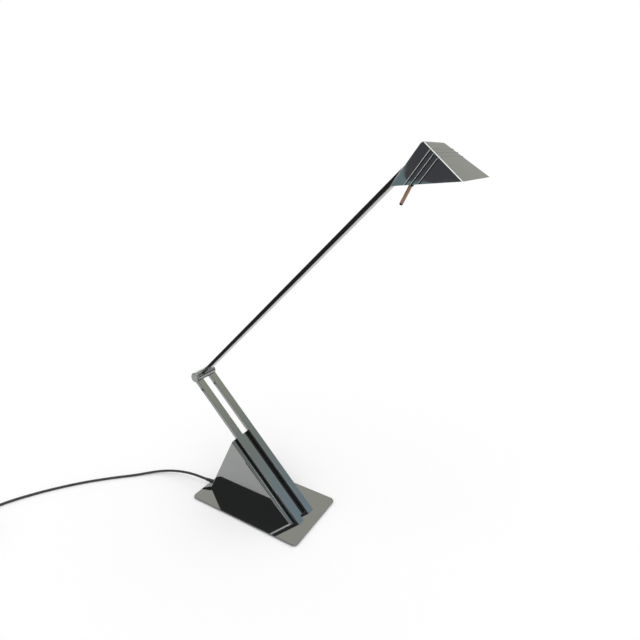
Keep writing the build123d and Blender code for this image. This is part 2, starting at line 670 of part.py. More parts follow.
def head_bracket():
    """U-shaped bracket inside the shade: ears for the pin and a web for the grip."""
    start = PIVOT_UP_BACK + SLOT_PAST_PIVOT + BRACKET_GAP
    seat = -SHADE_SHEET - EAR_THICK / 2
    base = Pos(start + BRACKET_LENGTH / 2, seat) * Rectangle(BRACKET_LENGTH, EAR_THICK)
    bracket = shade_back * extrude(base, BRACKET_WIDTH / 2, both=True)
    reach = start + BRACKET_LENGTH - PIVOT_UP_BACK
    deep = PIVOT_DEPTH + EAR_RADIUS
    ear = Pos(PIVOT_UP_BACK, -PIVOT_DEPTH) * Circle(EAR_RADIUS)
    ear += Pos(PIVOT_UP_BACK + reach / 2, -(SHADE_SHEET + deep) / 2) * Rectangle(reach, deep - SHADE_SHEET)
    ears = shade_back * extrude(ear, EAR_OUTER, both=True)
    grip_side = Plane(grip_top, x_dir=grip_down, z_dir=(0, 1, 0))
    web_end = WEB_START + WEB_THICK
    hanger = Pos(web_end / 2, 0) * Rectangle(web_end, WEB_WIDTH)
    ears += grip_side * extrude(hanger, EAR_OUTER, both=True)
    inside = extrude(Rectangle(2 * WEB_START, 8 * WEB_WIDTH), EAR_INNER, both=True)
    far_back = back_along * (PIVOT_UP_BACK + reach / 2)
    gap = Plane(far_back, x_dir=back_along, z_dir=(0, -1, 0)) * extrude(
        Rectangle(4 * reach, 8 * deep), EAR_INNER, both=True)
    web_outline = Pos(web_end - WEB_THICK / 2, 0) * Rectangle(WEB_THICK, WEB_WIDTH)
    web = grip_side * extrude(web_outline, EAR_OUTER, both=True)
    ears = ears - gap - grip_side * inside + web
    bracket += ears
    bracket -= rod_across(pivot, HEAD_PIN_RADIUS + PIN_CLEARANCE, -BRACKET_WIDTH, BRACKET_WIDTH)
    bracket -= rod(grip_top, grip_down, STEM_RADIUS + PIN_CLEARANCE, 2 * web_end)
    for side in (-1, 1):
        bracket -= bracket_rivet(side)
    return bracket


def head_pin():
    pin = rod_across(pivot, HEAD_PIN_RADIUS, -EAR_OUTER, EAR_OUTER + HEAD_NUT_THICK)
    return pin + rod_across(pivot, HEAD_PIN_HEAD_RADIUS, -EAR_OUTER - HEAD_PIN_HEAD_THICK, -EAR_OUTER)


def head_nut():
    plane = Plane((pivot.X, EAR_OUTER, pivot.Z), z_dir=(0, 1, 0))
    nut = extrude(RegularPolygon(HEAD_PIN_HEAD_RADIUS, 6, major_radius=False), HEAD_NUT_THICK)
    return plane * nut - rod_across(pivot, HEAD_PIN_RADIUS + PIN_CLEARANCE, EAR_OUTER, 2 * EAR_OUTER)


def head_washer(side):
    ends = sorted((side * EAR_INNER, side * (EAR_INNER - WASHER_THICK)))
    ring = rod_across(pivot, EYE_RADIUS, *ends)
    return ring - rod_across(pivot, HEAD_PIN_RADIUS + PIN_CLEARANCE, *ends)


# Grip

def grip_piece(start, length, radius):
    return rod(grip_top + grip_down * start, grip_down, radius, length)


def grip_stem():
    return grip_piece(WEB_START, COLLAR_START + COLLAR_LENGTH - WEB_START, STEM_RADIUS)


def grip_collar():
    collar = grip_piece(COLLAR_START, COLLAR_LENGTH, COLLAR_RADIUS)
    return collar - grip_piece(COLLAR_START, COLLAR_LENGTH, STEM_RADIUS + PIN_CLEARANCE)


def grip_handle():
    return grip_piece(COLLAR_START + COLLAR_LENGTH, GRIP_LENGTH, GRIP_RADIUS)


def grip_tip():
    start = COLLAR_START + COLLAR_LENGTH + GRIP_LENGTH
    tip = grip_piece(start, GRIP_TIP_LENGTH, GRIP_RADIUS)
    end = grip_top + grip_down * (start + GRIP_TIP_LENGTH)
    circles = tip.edges().filter_by(GeomType.CIRCLE)
    rim = [edge for edge in circles if (edge.arc_center - end).length < SIDE_PLAY]
    return fillet(rim, GRIP_TIP_ROUNDING * GRIP_RADIUS)


# Reflector and bulb

reflector_centre = Vector(REFLECTOR_FROM_NECK, 0, REFLECTOR_UP)


def half_pipe(radius, y_from, y_to):
    """Upper half of a cylinder across the head."""
    pipe = rod_across(reflector_centre, radius, y_from, y_to)
    lower = Box(4 * radius, 4 * REFLECTOR_LENGTH, 2 * radius, align=(Align.CENTER, Align.CENTER, Align.MAX))
    return pipe - Pos(reflector_centre.X, 0, reflector_centre.Z) * lower


def reflector():
    half = REFLECTOR_LENGTH / 2
    outer = half_pipe(REFLECTOR_RADIUS, -half, half)
    return outer - half_pipe(REFLECTOR_RADIUS - REFLECTOR_SHEET, -half - OVERCUT, half - REFLECTOR_SHEET)


def reflector_stud(side):
    """Stud from the front panel to the reflector."""
    run = SHADE_LENGTH - RIDGE_FROM_NECK
    length = math.hypot(run, SHADE_HEIGHT)
    outward = Vector(SHADE_HEIGHT / length, 0, run / length)
    mouth_front = Vector(SHADE_LENGTH, 0, 0)
    reach = (mouth_front - reflector_centre).dot(outward) - SHADE_SHEET
    start = reflector_centre + Vector(0, side * STUD_SPREAD / 2, 0)
    return rod(start, outward, STUD_RADIUS, reach) - rod_across(
        reflector_centre, REFLECTOR_RADIUS, -REFLECTOR_LENGTH, REFLECTOR_LENGTH)


holder_face = REFLECTOR_LENGTH / 2 - REFLECTOR_SHEET - HOLDER_LENGTH
bulb_axis = reflector_centre + Vector(0, 0, BULB_UP)


def bulb_pin(side):
    at = bulb_axis + Vector(side * BULB_PIN_SPACING / 2, 0, 0)
    return rod_across(at, BULB_PIN_RADIUS, holder_face, holder_face + BULB_PIN_LENGTH)


def lamp_holder():
    middle = (bulb_axis.X, holder_face + HOLDER_LENGTH / 2, bulb_axis.Z)
    block = Pos(*middle) * Box(HOLDER_WIDTH, HOLDER_LENGTH, HOLDER_HEIGHT)
    for side in (-1, 1):
        block -= bulb_pin(side)
    return block


def bulb():
    """Quartz capsule: pinched root, round envelope and two pins."""
    pinch_middle = (bulb_axis.X, holder_face - BULB_PINCH_LENGTH / 2, bulb_axis.Z)
    capsule = Pos(*pinch_middle) * Box(BULB_PINCH_WIDTH, BULB_PINCH_LENGTH, BULB_PINCH_THICK)
    root = holder_face - BULB_PINCH_LENGTH
    end = root - BULB_LENGTH + BULB_RADIUS
    capsule += rod_across(bulb_axis, BULB_RADIUS, end, root)
    capsule += Pos(bulb_axis.X, end, bulb_axis.Z) * Sphere(BULB_RADIUS)
    for side in (-1, 1):
        capsule += bulb_pin(side)
    return capsule


# Mains lead

def gland():
    """Strain relief on the back panel, tapering along the lead."""
    slab = panel_slab(4 * HOUSING_WIDTH, -PANEL_WINDOW_HEIGHT, PANEL_WINDOW_HEIGHT)
    start = gland_root - gland_axis * GLAND_ROOT_RADIUS
    taper = Plane(start, z_dir=gland_axis) * Cone(
        GLAND_ROOT_RADIUS, GLAND_TIP_RADIUS, GLAND_LENGTH + GLAND_ROOT_RADIUS,
        align=(Align.CENTER, Align.CENTER, Align.MIN))
    nut = rod(gland_root, gland_axis * -1, GLAND_NUT_RADIUS, GLAND_NUT_THICK + PANEL_THICK)
    stem = rod(gland_root, gland_axis * -1, GLAND_STEM_RADIUS, 2 * GLAND_ROOT_RADIUS)
    outside = back_plane * Pos(0, 0, -HOUSING_SHEET) * Box(
        4 * HOUSING_WIDTH, 4 * HOUSING_WIDTH, HOUSING_WIDTH, align=(Align.CENTER, Align.CENTER, Align.MIN))
    return (taper & outside) + (nut - outside - slab) + stem


LEAD_Z = CORD_RADIUS + FLOOR_GAP
COIL_Z = TIE_THICK + CORD_RADIUS
COIL_START = Vector(COIL_CENTRE[0] - COIL_RADIUS, COIL_CENTRE[1], COIL_Z)
lead_in = COIL_START + Vector(0, 2 * CORD_RADIUS, 0)
cord_route = [
    gland_tip,
    gland_tip + gland_axis * LEAD_STRAIGHT,
    Vector(-158.0, -32.4, 18.4),
    Vector(-186.0, -35.6, 14.6),
    Vector(-214.0, -40.6, 8.8),
    Vector(-241.0, -53.7, 4.4),
    Vector(-269.0, -82.7, LEAD_Z),
    Vector(-305.0, -116.2, LEAD_Z),
    Vector(-345.0, -159.8, LEAD_Z),
    Vector(-382.0, -211.8, LEAD_Z),
    Vector(-409.0, -262.0, 2.9),
    Vector(lead_in.X - 4.0, -300.0, COIL_Z),
    Vector(lead_in.X, -334.0, COIL_Z),
    lead_in,
]


def turn_at(route, index):
    """Angle by which a route turns at one of its points, in radians."""
    before = route[index] - route[index - 1]
    after = route[index + 1] - route[index]
    return math.radians(before.get_angle(after))


def bend_radii(route):
    """Largest arcs that the runs of a route allow, each with its share of the shorter run beside it."""
    radii = []
    for index in range(1, len(route) - 1):
        runs = (route[index] - route[index - 1]).length, (route[index + 1] - route[index]).length
        radii.append(BEND_SHARE * min(runs) / math.tan(turn_at(route, index) / 2))
    return radii


def cord_tube(path):
    return sweep((path ^ 0) * Circle(CORD_RADIUS), path=path)


def report_tube(node, path, tube):
    expected = math.pi * CORD_RADIUS ** 2 * path.length
    print(f"{node}: length {path.length:.1f} mm, volume {tube.volume:.1f}, section times length {expected:.1f}")


def routed_cord(node, route):
    radii = bend_radii(route)
    path = FilletPolyline(*route, radius=radii)
    tube = cord_tube(path)
    report_tube(node, path, tube)
    print(f"{node}: bend radii", [round(radius, 1) for radius in radii])
    return tube


def half_turn(start, across, heading, climb):
    """Half a turn from a point to the point across, as two quarter arcs, and the heading at its end."""
    end = start + Vector(across, 0, climb)
    if climb == 0:
        return [TangentArc(start, end, tangent=heading)], end
    radius = abs(across) / 2
    side = 1 if heading.Y > 0 else -1
    middle = start + Vector(across / 2, side * math.hypot(radius, climb / 2), climb / 2)
    first = TangentArc(start, middle, tangent=heading)
    second = TangentArc(middle, end, tangent=first % 1)
    return [first, second], end


def coil_path():
    """Spiral inwards on the floor, half a turn up, and spiral outwards on top."""
    heading = Vector(0, -1, 0)
    at = COIL_START
    pieces = [Line(lead_in, COIL_START)]
    inward = [COIL_RADIUS - step * COIL_PITCH / 2 for step in range(2 * COIL_TURNS)]
    inner = COIL_RADIUS - COIL_TURNS * COIL_PITCH
    outward = [inner + (step + 1) * COIL_PITCH / 2 for step in range(2 * COIL_TURNS - 1)]
    for radius, climb in [(r, 0) for r in inward] + [(inner, COIL_LAYER)] + [(r, 0) for r in outward]:
        arcs, at = half_turn(at, -2 * radius * heading.Y, heading, climb)
        pieces += arcs
        heading = heading * -1
    pieces.append(Line(at, at + heading * 2 * CORD_RADIUS))
    return Wire(pieces), at + heading * 2 * CORD_RADIUS, heading


def least_gap(path):
    """Least gap between stretches of the coil that are not neighbours along it."""
    spacing = CORD_RADIUS
    count = int(path.length / spacing)
    points = [path @ (index / count) for index in range(count + 1)]
    apart = int(6 * CORD_RADIUS / spacing)
    least = min((points[j] - points[i]).length
                for i in range(count + 1) for j in range(i + apart, count + 1))
    return least - 2 * CORD_RADIUS


def coil_tie():
    """Band round all turns, on the side of the coil away from the plug."""
    height = COIL_LAYER + 2 * CORD_RADIUS + TIE_GAP
    inner_edge = COIL_RADIUS - (COIL_TURNS - 0.5) * COIL_PITCH - CORD_RADIUS - TIE_GAP
    outer_edge = COIL_RADIUS - COIL_PITCH / 2 + CORD_RADIUS + TIE_GAP
    window = Pos((inner_edge + outer_edge) / 2, height / 2) * Rectangle(outer_edge - inner_edge, height)
    rim_width = outer_edge - inner_edge + 2 * TIE_THICK
    rim = Pos((inner_edge + outer_edge) / 2, height / 2) * Rectangle(rim_width, height + 2 * TIE_THICK)
    plane = Plane((COIL_CENTRE[0], COIL_CENTRE[1], TIE_THICK), x_dir=(0, 1, 0), z_dir=(1, 0, 0))
    return plane * extrude(rim - window, TIE_WIDTH / 2, both=True)


coil_wire, coil_end, coil_heading = coil_path()
PLUG_Z = PLUG_THICK / 2
TAIL_RUNS = (16.0, 22.0, 16.0)
tail_route = [
    coil_end,
    coil_end + coil_heading * TAIL_RUNS[0],
    coil_end + coil_heading * (TAIL_RUNS[0] + TAIL_RUNS[1]) + Vector(0, 0, PLUG_Z - coil_end.Z),
    coil_end + coil_heading * sum(TAIL_RUNS) + Vector(0, 0, PLUG_Z - coil_end.Z),
]
plug_start = tail_route[-1]
plug_plane = Plane(plug_start, x_dir=(1, 0, 0), z_dir=coil_heading)


def plug_pin(side):
    at = plug_plane.from_local_coords(Vector(side * PLUG_PIN_SPACING / 2, 0, PLUG_NECK_LENGTH + PLUG_LENGTH / 2))
    return rod(at, coil_heading, PLUG_PIN_RADIUS, PLUG_LENGTH / 2 + PLUG_PIN_LENGTH)


def plug_body():
    upward = (Align.CENTER, Align.CENTER, Align.MIN)
    neck = Cone(GLAND_TIP_RADIUS, PLUG_NECK_RADIUS, PLUG_NECK_LENGTH, align=upward)
    body = Pos(0, 0, PLUG_NECK_LENGTH) * Box(PLUG_WIDTH, PLUG_THICK, PLUG_LENGTH, align=upward)
    body = fillet(body.edges().filter_by(Axis.Z), PLUG_EDGE)
    plug = plug_plane * (neck + body)
    for side in (-1, 1):
        plug -= plug_pin(side)
    return plug


save(base_pad(), "base_pad")
save(base_plate(), "base_plate")
save(housing_shell(), "housing_shell")
save(group(housing_screw(x, y) for x, y in tab_screw_points()), "housing_screws")
save(back_panel(), "back_panel")
save(group(panel_screw(side) for side in (-1, 1)), "panel_screws")
save(switch_body(), "switch_body")
save(switch_rocker(), "switch_rocker")
save(transformer_core(), "transformer_core")
save(transformer_winding(), "transformer_winding")
save(transformer_strap(), "transformer_strap")
save(group(strap_screw(x, y) for x, y in strap_screw_points()), "strap_screws")
save(terminal_block(), "terminal_block")
save(group(terminal_screw(way) for way in range(TERMINAL_WAYS)), "terminal_screws")
save(leg(-1), "near_leg")
save(leg(1), "far_leg")
save(group(leg_screw(y, up) for y, up in leg_screw_points()), "leg_screws")
save(group(leg_spacer(y, up) for y, up in leg_screw_points()), "leg_spacers")
save(leg_knuckle(-1), "near_knuckle")
save(leg_knuckle(1), "far_knuckle")
save(elbow_pin(), "elbow_pin")
save(group(elbow_cap(side) for side in (-1, 1)), "elbow_caps")
save(group(elbow_washer(side) for side in (-1, 1)), "elbow_washers")
save(arm_knuckle(), "arm_knuckle")
save(arm_tube(), "arm_tube")
save(arm_tongue(), "arm_tongue")
save(head_place * shade(), "shade")
save(head_place * head_bracket(), "head_bracket")
save(head_place * group(bracket_rivet(side) for side in (-1, 1)), "bracket_rivets")
save(head_place * head_pin(), "head_pin")
save(head_place * head_nut(), "head_nut")
save(head_place * group(head_washer(side) for side in (-1, 1)), "head_washers")
save(head_place * grip_stem(), "grip_stem")
save(head_place * grip_collar(), "grip_collar")
save(head_place * grip_handle(), "grip_handle")
save(head_place * grip_tip(), "grip_tip")
save(head_place * reflector(), "reflector")
save(head_place * group(reflector_stud(side) for side in (-1, 1)), "reflector_studs")
save(head_place * lamp_holder(), "lamp_holder")
save(head_place * bulb(), "bulb")
save(gland(), "cord_gland")
save(routed_cord("cord_run", cord_route), "cord_run")
coil = cord_tube(coil_wire)
report_tube("cord_coil", coil_wire, coil)
print(f"cord_coil: least gap to itself {least_gap(coil_wire):.2f} mm")
save(coil, "cord_coil")
save(coil_tie(), "coil_tie")
save(routed_cord("cord_tail", tail_route), "cord_tail")
save(plug_body(), "plug_body")
save(group(plug_pin(side) for side in (-1, 1)), "plug_pins")
print("elbow", tuple(round(value, 3) for value in elbow), "head joint",
      tuple(round(value, 3) for value in head_joint))
print("neck", tuple(round(value, 3) for value in neck), "switch",
      tuple(round(value, 3) for value in switch_plane().from_local_coords(Vector(0, 0, -ROCKER_DEPTH))))
print("coil end", tuple(round(value, 2) for value in coil_end), "plug", tuple(round(v, 2) for v in plug_start))
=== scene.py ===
import math

import bmesh
import bpy
from mathutils import Matrix, Vector


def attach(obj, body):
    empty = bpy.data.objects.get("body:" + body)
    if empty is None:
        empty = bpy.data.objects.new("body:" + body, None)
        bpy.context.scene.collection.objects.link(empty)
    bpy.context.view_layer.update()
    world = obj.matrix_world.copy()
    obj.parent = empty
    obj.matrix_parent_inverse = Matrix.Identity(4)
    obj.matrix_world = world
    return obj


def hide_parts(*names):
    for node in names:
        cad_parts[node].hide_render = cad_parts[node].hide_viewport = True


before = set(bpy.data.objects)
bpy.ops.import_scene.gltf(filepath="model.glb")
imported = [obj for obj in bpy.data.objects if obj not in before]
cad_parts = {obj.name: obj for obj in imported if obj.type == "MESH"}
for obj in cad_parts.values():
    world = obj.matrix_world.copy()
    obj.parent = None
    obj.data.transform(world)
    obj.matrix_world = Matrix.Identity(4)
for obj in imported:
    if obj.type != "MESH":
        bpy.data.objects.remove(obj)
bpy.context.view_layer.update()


# Base plate.
# A 3 mm steel plate with rounded corners, polished and chromium-plated like all the outer metal.
# It carries the housing and the legs, and its weight holds the long arm.

def linear(hex_code):
    """Turns an sRGB hex colour into the linear colour that a shader takes."""
    parts = [int(hex_code[start:start + 2], 16) / 255 for start in (1, 3, 5)]
    return tuple(c / 12.92 if c <= 0.04045 else ((c + 0.055) / 1.055) ** 2.4 for c in parts) + (1.0,)


def add_node(tree, kind, inputs=None, **settings):
    """Adds a node with its settings; an input is a value or another node's output."""
    node = tree.nodes.new(kind)
    for name, value in settings.items():
        setattr(node, name, value)
    for name, value in (inputs or {}).items():
        if isinstance(value, bpy.types.NodeSocket):
            tree.links.new(value, node.inputs[name])
        else:
            node.inputs[name].default_value = value
    return node


def new_material(name):
    """An empty node material, its tree and its object coordinates in metres."""
    material = bpy.data.materials.new(name)
    material.use_nodes = True
    tree = material.node_tree
    tree.nodes.clear()
    place = add_node(tree, "ShaderNodeTexCoord").outputs["Object"]
    return material, tree, place


def per_mm(size):
    """Texture scale whose features are so many millimetres wide."""
    return 1000 / size


def polished_chrome():
    """Chromium plate on polished sheet: a sharp grey mirror. Handling marks dull it in soft patches,
    and a long shallow waviness of the sheet bends straight reflections a little."""
    smudge_mm = 24
    waviness_mm = 70
    material, tree, place = new_material("polished_chrome_plate")
    smudge = add_node(tree, "ShaderNodeTexNoise", {
        "Vector": place, "Scale": per_mm(smudge_mm), "Detail": 4.0})
    haze = add_node(tree, "ShaderNodeMapRange", {
        "Value": smudge.outputs["Fac"], "From Min": 0.35, "From Max": 0.75, "To Min": 0.03, "To Max": 0.09})
    wave = add_node(tree, "ShaderNodeTexNoise", {
        "Vector": place, "Scale": per_mm(waviness_mm), "Detail": 1.0})
    dent = add_node(tree, "ShaderNodeBump", {
        "Height": wave.outputs["Fac"], "Strength": 0.12, "Distance": 0.0004})
    tint = add_node(tree, "ShaderNodeMix", {
        "Factor": smudge.outputs["Fac"], "A": linear("#979895"), "B": linear("#8F9192")}, data_type="RGBA")
    shader = add_node(tree, "ShaderNodeBsdfPrincipled", {
        "Base Color": tint.outputs["Result"], "Metallic": 1.0, "Roughness": haze.outputs["Result"],
        "Normal": dent.outputs["Normal"]})
    add_node(tree, "ShaderNodeOutputMaterial", {"Surface": shader.outputs["BSDF"]})
    return material


def finish_node(material, *names):
    """Gives CAD nodes a material."""
    for name in names:
        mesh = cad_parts[name].data
        mesh.materials.clear()
        mesh.materials.append(material)


chrome = polished_chrome()
finish_node(chrome, "base_plate")


# Pad.
# A thin sheet of black synthetic rubber glued under the plate, so that the lamp neither slides nor scratches.
# Its skin has the fine leathery grain of calendered sheet.

def moulded(name, dark, light, grain_mm, gloss, matt, relief_mm):
    """Moulded or extruded polymer: two close shades in soft clouds, and a fine grain that varies the gloss.
    Its roughness lies between gloss and matt."""
    cloud_grains = 25
    material, tree, place = new_material(name)
    grain = add_node(tree, "ShaderNodeTexNoise", {"Vector": place, "Scale": per_mm(grain_mm), "Detail": 3.0})
    cloud = add_node(tree, "ShaderNodeTexNoise", {
        "Vector": place, "Scale": per_mm(cloud_grains * grain_mm), "Detail": 2.0})
    tint = add_node(tree, "ShaderNodeMix", {
        "Factor": cloud.outputs["Fac"], "A": linear(dark), "B": linear(light)}, data_type="RGBA")
    sheen = add_node(tree, "ShaderNodeMapRange", {
        "Value": grain.outputs["Fac"], "To Min": gloss, "To Max": matt})
    skin = add_node(tree, "ShaderNodeBump", {
        "Height": grain.outputs["Fac"], "Strength": 0.3, "Distance": relief_mm / 1000})
    shader = add_node(tree, "ShaderNodeBsdfPrincipled", {
        "Base Color": tint.outputs["Result"], "Roughness": sheen.outputs["Result"], "IOR": 1.52,
        "Normal": skin.outputs["Normal"]})
    add_node(tree, "ShaderNodeOutputMaterial", {"Surface": shader.outputs["BSDF"]})
    return material


rubber_sheet = moulded("synthetic_rubber_sheet", "#171717", "#242322",
                       grain_mm=0.9, gloss=0.62, matt=0.85, relief_mm=0.25)
finish_node(rubber_sheet, "base_pad")


# Transformer.
# A core of varnished silicon-steel sheets with a bobbin of enamelled copper wire, held to the plate by
# a zinc-plated strap and two screws. A cream polyamide terminal block with brass screws stands before it.

def band_scale(spacing_mm):
    """Scale of a wave texture whose bands are so many millimetres apart: it has 20 radians to a unit."""
    return per_mm(spacing_mm) * 2 * math.pi / 20


def layered_metal(name, face, seam, layer_mm, across, gloss, matt):
    """Metal in thin layers or turns: dark matt seams between glossy faces, and a rounded relief."""
    relief_mm = layer_mm / 3
    material, tree, place = new_material(name)
    layers = add_node(tree, "ShaderNodeTexWave", {
        "Vector": place, "Scale": band_scale(layer_mm), "Distortion": 0.15}, bands_direction=across)
    tint = add_node(tree, "ShaderNodeMix", {
        "Factor": layers.outputs["Fac"], "A": linear(seam), "B": linear(face)}, data_type="RGBA")
    sheen = add_node(tree, "ShaderNodeMapRange", {
        "Value": layers.outputs["Fac"], "To Min": matt, "To Max": gloss})
    relief = add_node(tree, "ShaderNodeBump", {
        "Height": layers.outputs["Fac"], "Strength": 0.5, "Distance": relief_mm / 1000})
    shader = add_node(tree, "ShaderNodeBsdfPrincipled", {
        "Base Color": tint.outputs["Result"], "Metallic": 0.85, "Roughness": sheen.outputs["Result"],
        "Normal": relief.outputs["Normal"]})
    add_node(tree, "ShaderNodeOutputMaterial", {"Surface": shader.outputs["BSDF"]})
    return material


def worked_metal(name, dark, light, patch_mm, gloss, matt):
    """Bare or plated small metal part: tone and gloss vary in small patches from plating and handling."""
    material, tree, place = new_material(name)
    patch = add_node(tree, "ShaderNodeTexNoise", {"Vector": place, "Scale": per_mm(patch_mm), "Detail": 4.0})
    tint = add_node(tree, "ShaderNodeMix", {
        "Factor": patch.outputs["Fac"], "A": linear(dark), "B": linear(light)}, data_type="RGBA")
    sheen = add_node(tree, "ShaderNodeMapRange", {
        "Value": patch.outputs["Fac"], "To Min": gloss, "To Max": matt})
    shader = add_node(tree, "ShaderNodeBsdfPrincipled", {
        "Base Color": tint.outputs["Result"], "Metallic": 1.0, "Roughness": sheen.outputs["Result"]})
    add_node(tree, "ShaderNodeOutputMaterial", {"Surface": shader.outputs["BSDF"]})
    return material


zinc_steel = worked_metal("zinc_plated_steel", "#9FA3A6", "#C4C8CA", patch_mm=1.6, gloss=0.24, matt=0.4)
core_sheets = layered_metal("silicon_steel_sheets", "#5A5650", "#262422",
                            layer_mm=0.5, across="Y", gloss=0.45, matt=0.7)
wound_wire = layered_metal("enamelled_copper_wire", "#B4582C", "#4A1D0D",
                           layer_mm=0.9, across="Z", gloss=0.22, matt=0.45)
polyamide = moulded("cream_polyamide", "#CFC6AE", "#DCD5C2",
                    grain_mm=0.5, gloss=0.4, matt=0.55, relief_mm=0.06)
turned_brass = worked_metal("turned_brass", "#A07F3A", "#C9A65A", patch_mm=0.8, gloss=0.2, matt=0.35)
finish_node(core_sheets, "transformer_core")
finish_node(wound_wire, "transformer_winding")
finish_node(zinc_steel, "transformer_strap", "strap_screws")
finish_node(polyamide, "terminal_block")
finish_node(turned_brass, "terminal_screws")

# Housing.
# One chromium-plated sheet folded to a wedge over the transformer, open at the foot, with tabs that
# four screws hold to the plate from below. The legs are screwed to its front from inside.

finish_node(chrome, "housing_shell")
finish_node(zinc_steel, "housing_screws", "leg_screws")

# Back panel and its screws.
# A chromium-plated sheet behind the window in the housing's back. It holds the switch and the strain relief.
# Two zinc-plated pan-head screws with cross recesses hold its top edge.

back_slope = math.radians(64.0)
back_foot = Vector((-0.108, 0.0, 0.0042))
back_up = Vector((math.cos(back_slope), 0.0, math.sin(back_slope)))
back_out = Vector((-math.sin(back_slope), 0.0, math.cos(back_slope)))
panel_screw_up = 0.095
panel_screw_spread = 0.040
panel_screw_sizes = {"Head Radius": 0.0028, "Head Height": 0.0014, "Recess Length": 0.0032,
                     "Recess Width": 0.0007, "Recess Depth": 0.0008}
pan_top_share = 0.72
pan_sides = 40


def sized_tree(name, sizes):
    """A Geometry Nodes tree with a named input for each size, and its input sockets."""
    tree = bpy.data.node_groups.new(name, "GeometryNodeTree")
    tree.interface.new_socket("Geometry", in_out="INPUT", socket_type="NodeSocketGeometry")
    tree.interface.new_socket("Geometry", in_out="OUTPUT", socket_type="NodeSocketGeometry")
    for size, value in sizes.items():
        kind = "NodeSocketInt" if isinstance(value, int) else "NodeSocketFloat"
        tree.interface.new_socket(size, in_out="INPUT", socket_type=kind)
    return tree, add_node(tree, "NodeGroupInput").outputs


def end_tree(tree, geometry, material):
    """Closes a tree with real geometry in its material."""
    real = add_node(tree, "GeometryNodeRealizeInstances", {"Geometry": geometry})
    dressed = add_node(tree, "GeometryNodeSetMaterial", {
        "Geometry": real.outputs["Geometry"], "Material": material})
    add_node(tree, "NodeGroupOutput", {"Geometry": dressed.outputs["Geometry"]})


def run_tree(piece_name, tree, sizes, start_mesh):
    """Runs a tree from a starting mesh and keeps the result as a plain mesh."""
    piece = bpy.data.objects.new(piece_name, start_mesh)
    bpy.context.scene.collection.objects.link(piece)
    modifier = piece.modifiers.new(piece_name, "NODES")
    modifier.node_group = tree
    for socket in tree.interface.items_tree:
        if socket.in_out == "INPUT" and socket.name in sizes:
            modifier[socket.identifier] = sizes[socket.name]
    made = bpy.data.meshes.new_from_object(piece.evaluated_get(bpy.context.evaluated_depsgraph_get()))
    piece.modifiers.remove(modifier)
    piece.data = made
    return piece


def seats(name, places, facing):
    """Loose points where fasteners sit, each with the direction that its head faces."""
    mesh = bpy.data.meshes.new(name)
    mesh.from_pydata(places, [], [])
    directions = mesh.attributes.new("facing", "FLOAT_VECTOR", "POINT")
    for item, direction in zip(directions.data, facing):
        item.vector = direction
    return mesh


def seated(tree, points, head):
    """Puts a head, which faces up, on each point and turns it to its facing."""
    facing = add_node(tree, "GeometryNodeInputNamedAttribute", {"Name": "facing"}, data_type="FLOAT_VECTOR")
    turn = add_node(tree, "FunctionNodeAlignRotationToVector", {
        "Vector": facing.outputs["Attribute"]}, axis="Z")
    return add_node(tree, "GeometryNodeInstanceOnPoints", {
        "Points": points, "Instance": head, "Rotation": turn.outputs["Rotation"]}).outputs["Instances"]


def pan_head_tree(name, material):
    """Pan head with a cross recess: a low cone, less two crossed bars."""
    tree, size = sized_tree(name, panel_screw_sizes)
    top = add_node(tree, "ShaderNodeMath", {0: size["Head Radius"], 1: pan_top_share}, operation="MULTIPLY")
    cone = add_node(tree, "GeometryNodeMeshCone", {
        "Vertices": pan_sides, "Radius Top": top.outputs[0], "Radius Bottom": size["Head Radius"],
        "Depth": size["Head Height"]})
    deep = add_node(tree, "ShaderNodeMath", {0: size["Recess Depth"], 1: 2.0}, operation="MULTIPLY")
    lift = add_node(tree, "ShaderNodeCombineXYZ", {"Z": size["Head Height"]})
    cut = add_node(tree, "GeometryNodeMeshBoolean", {"Mesh 1": cone.outputs["Mesh"]}, operation="DIFFERENCE")
    for along, across in (("X", "Y"), ("Y", "X")):
        sides = add_node(tree, "ShaderNodeCombineXYZ", {
            along: size["Recess Length"], across: size["Recess Width"], "Z": deep.outputs[0]})
        bar = add_node(tree, "GeometryNodeMeshCube", {"Size": sides.outputs["Vector"]})
        raised = add_node(tree, "GeometryNodeTransform", {
            "Geometry": bar.outputs["Mesh"], "Translation": lift.outputs["Vector"]})
        tree.links.new(raised.outputs["Geometry"], cut.inputs["Mesh 2"])
    end_tree(tree, seated(tree, size["Geometry"], cut.outputs["Mesh"]), material)
    return tree


screw_places = [back_foot + back_up * panel_screw_up + Vector((0, side * panel_screw_spread / 2, 0))
                for side in (-1, 1)]
panel_screws = run_tree("cross_head_screws", pan_head_tree("pan_heads", zinc_steel), panel_screw_sizes,
                        seats("panel_screw_seats", screw_places, [back_out] * 2))
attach(panel_screws, "base")
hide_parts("panel_screws")
finish_node(chrome, "back_panel")

# Switch.
# A snap-in rocker switch: a spark-textured black nylon case, and a glossy black key with raised white marks
# for on and off, a bar and a ring.

rocker_up = 0.055
rocker_sink = 0.0024
rocker_across = 0.010
rocker_pivot = back_foot + back_up * rocker_up - back_out * rocker_sink + Vector((0, rocker_across, 0))
rocker_rest_tilt = math.radians(8.0)
rocker_face_slope = math.radians(8.0)
rocker_middle_height = 0.0028
mark_offset = 0.0036
mark_size = 0.0013
mark_bead = 0.00022
ring_steps = 32

black_nylon = moulded("spark_textured_nylon", "#141415", "#1F1F20",
                      grain_mm=0.5, gloss=0.45, matt=0.65, relief_mm=0.12)
glossy_abs = moulded("glossy_black_abs", "#0E0E0F", "#171718",
                     grain_mm=0.4, gloss=0.16, matt=0.26, relief_mm=0.02)
finish_node(black_nylon, "switch_body")
finish_node(glossy_abs, "switch_rocker")


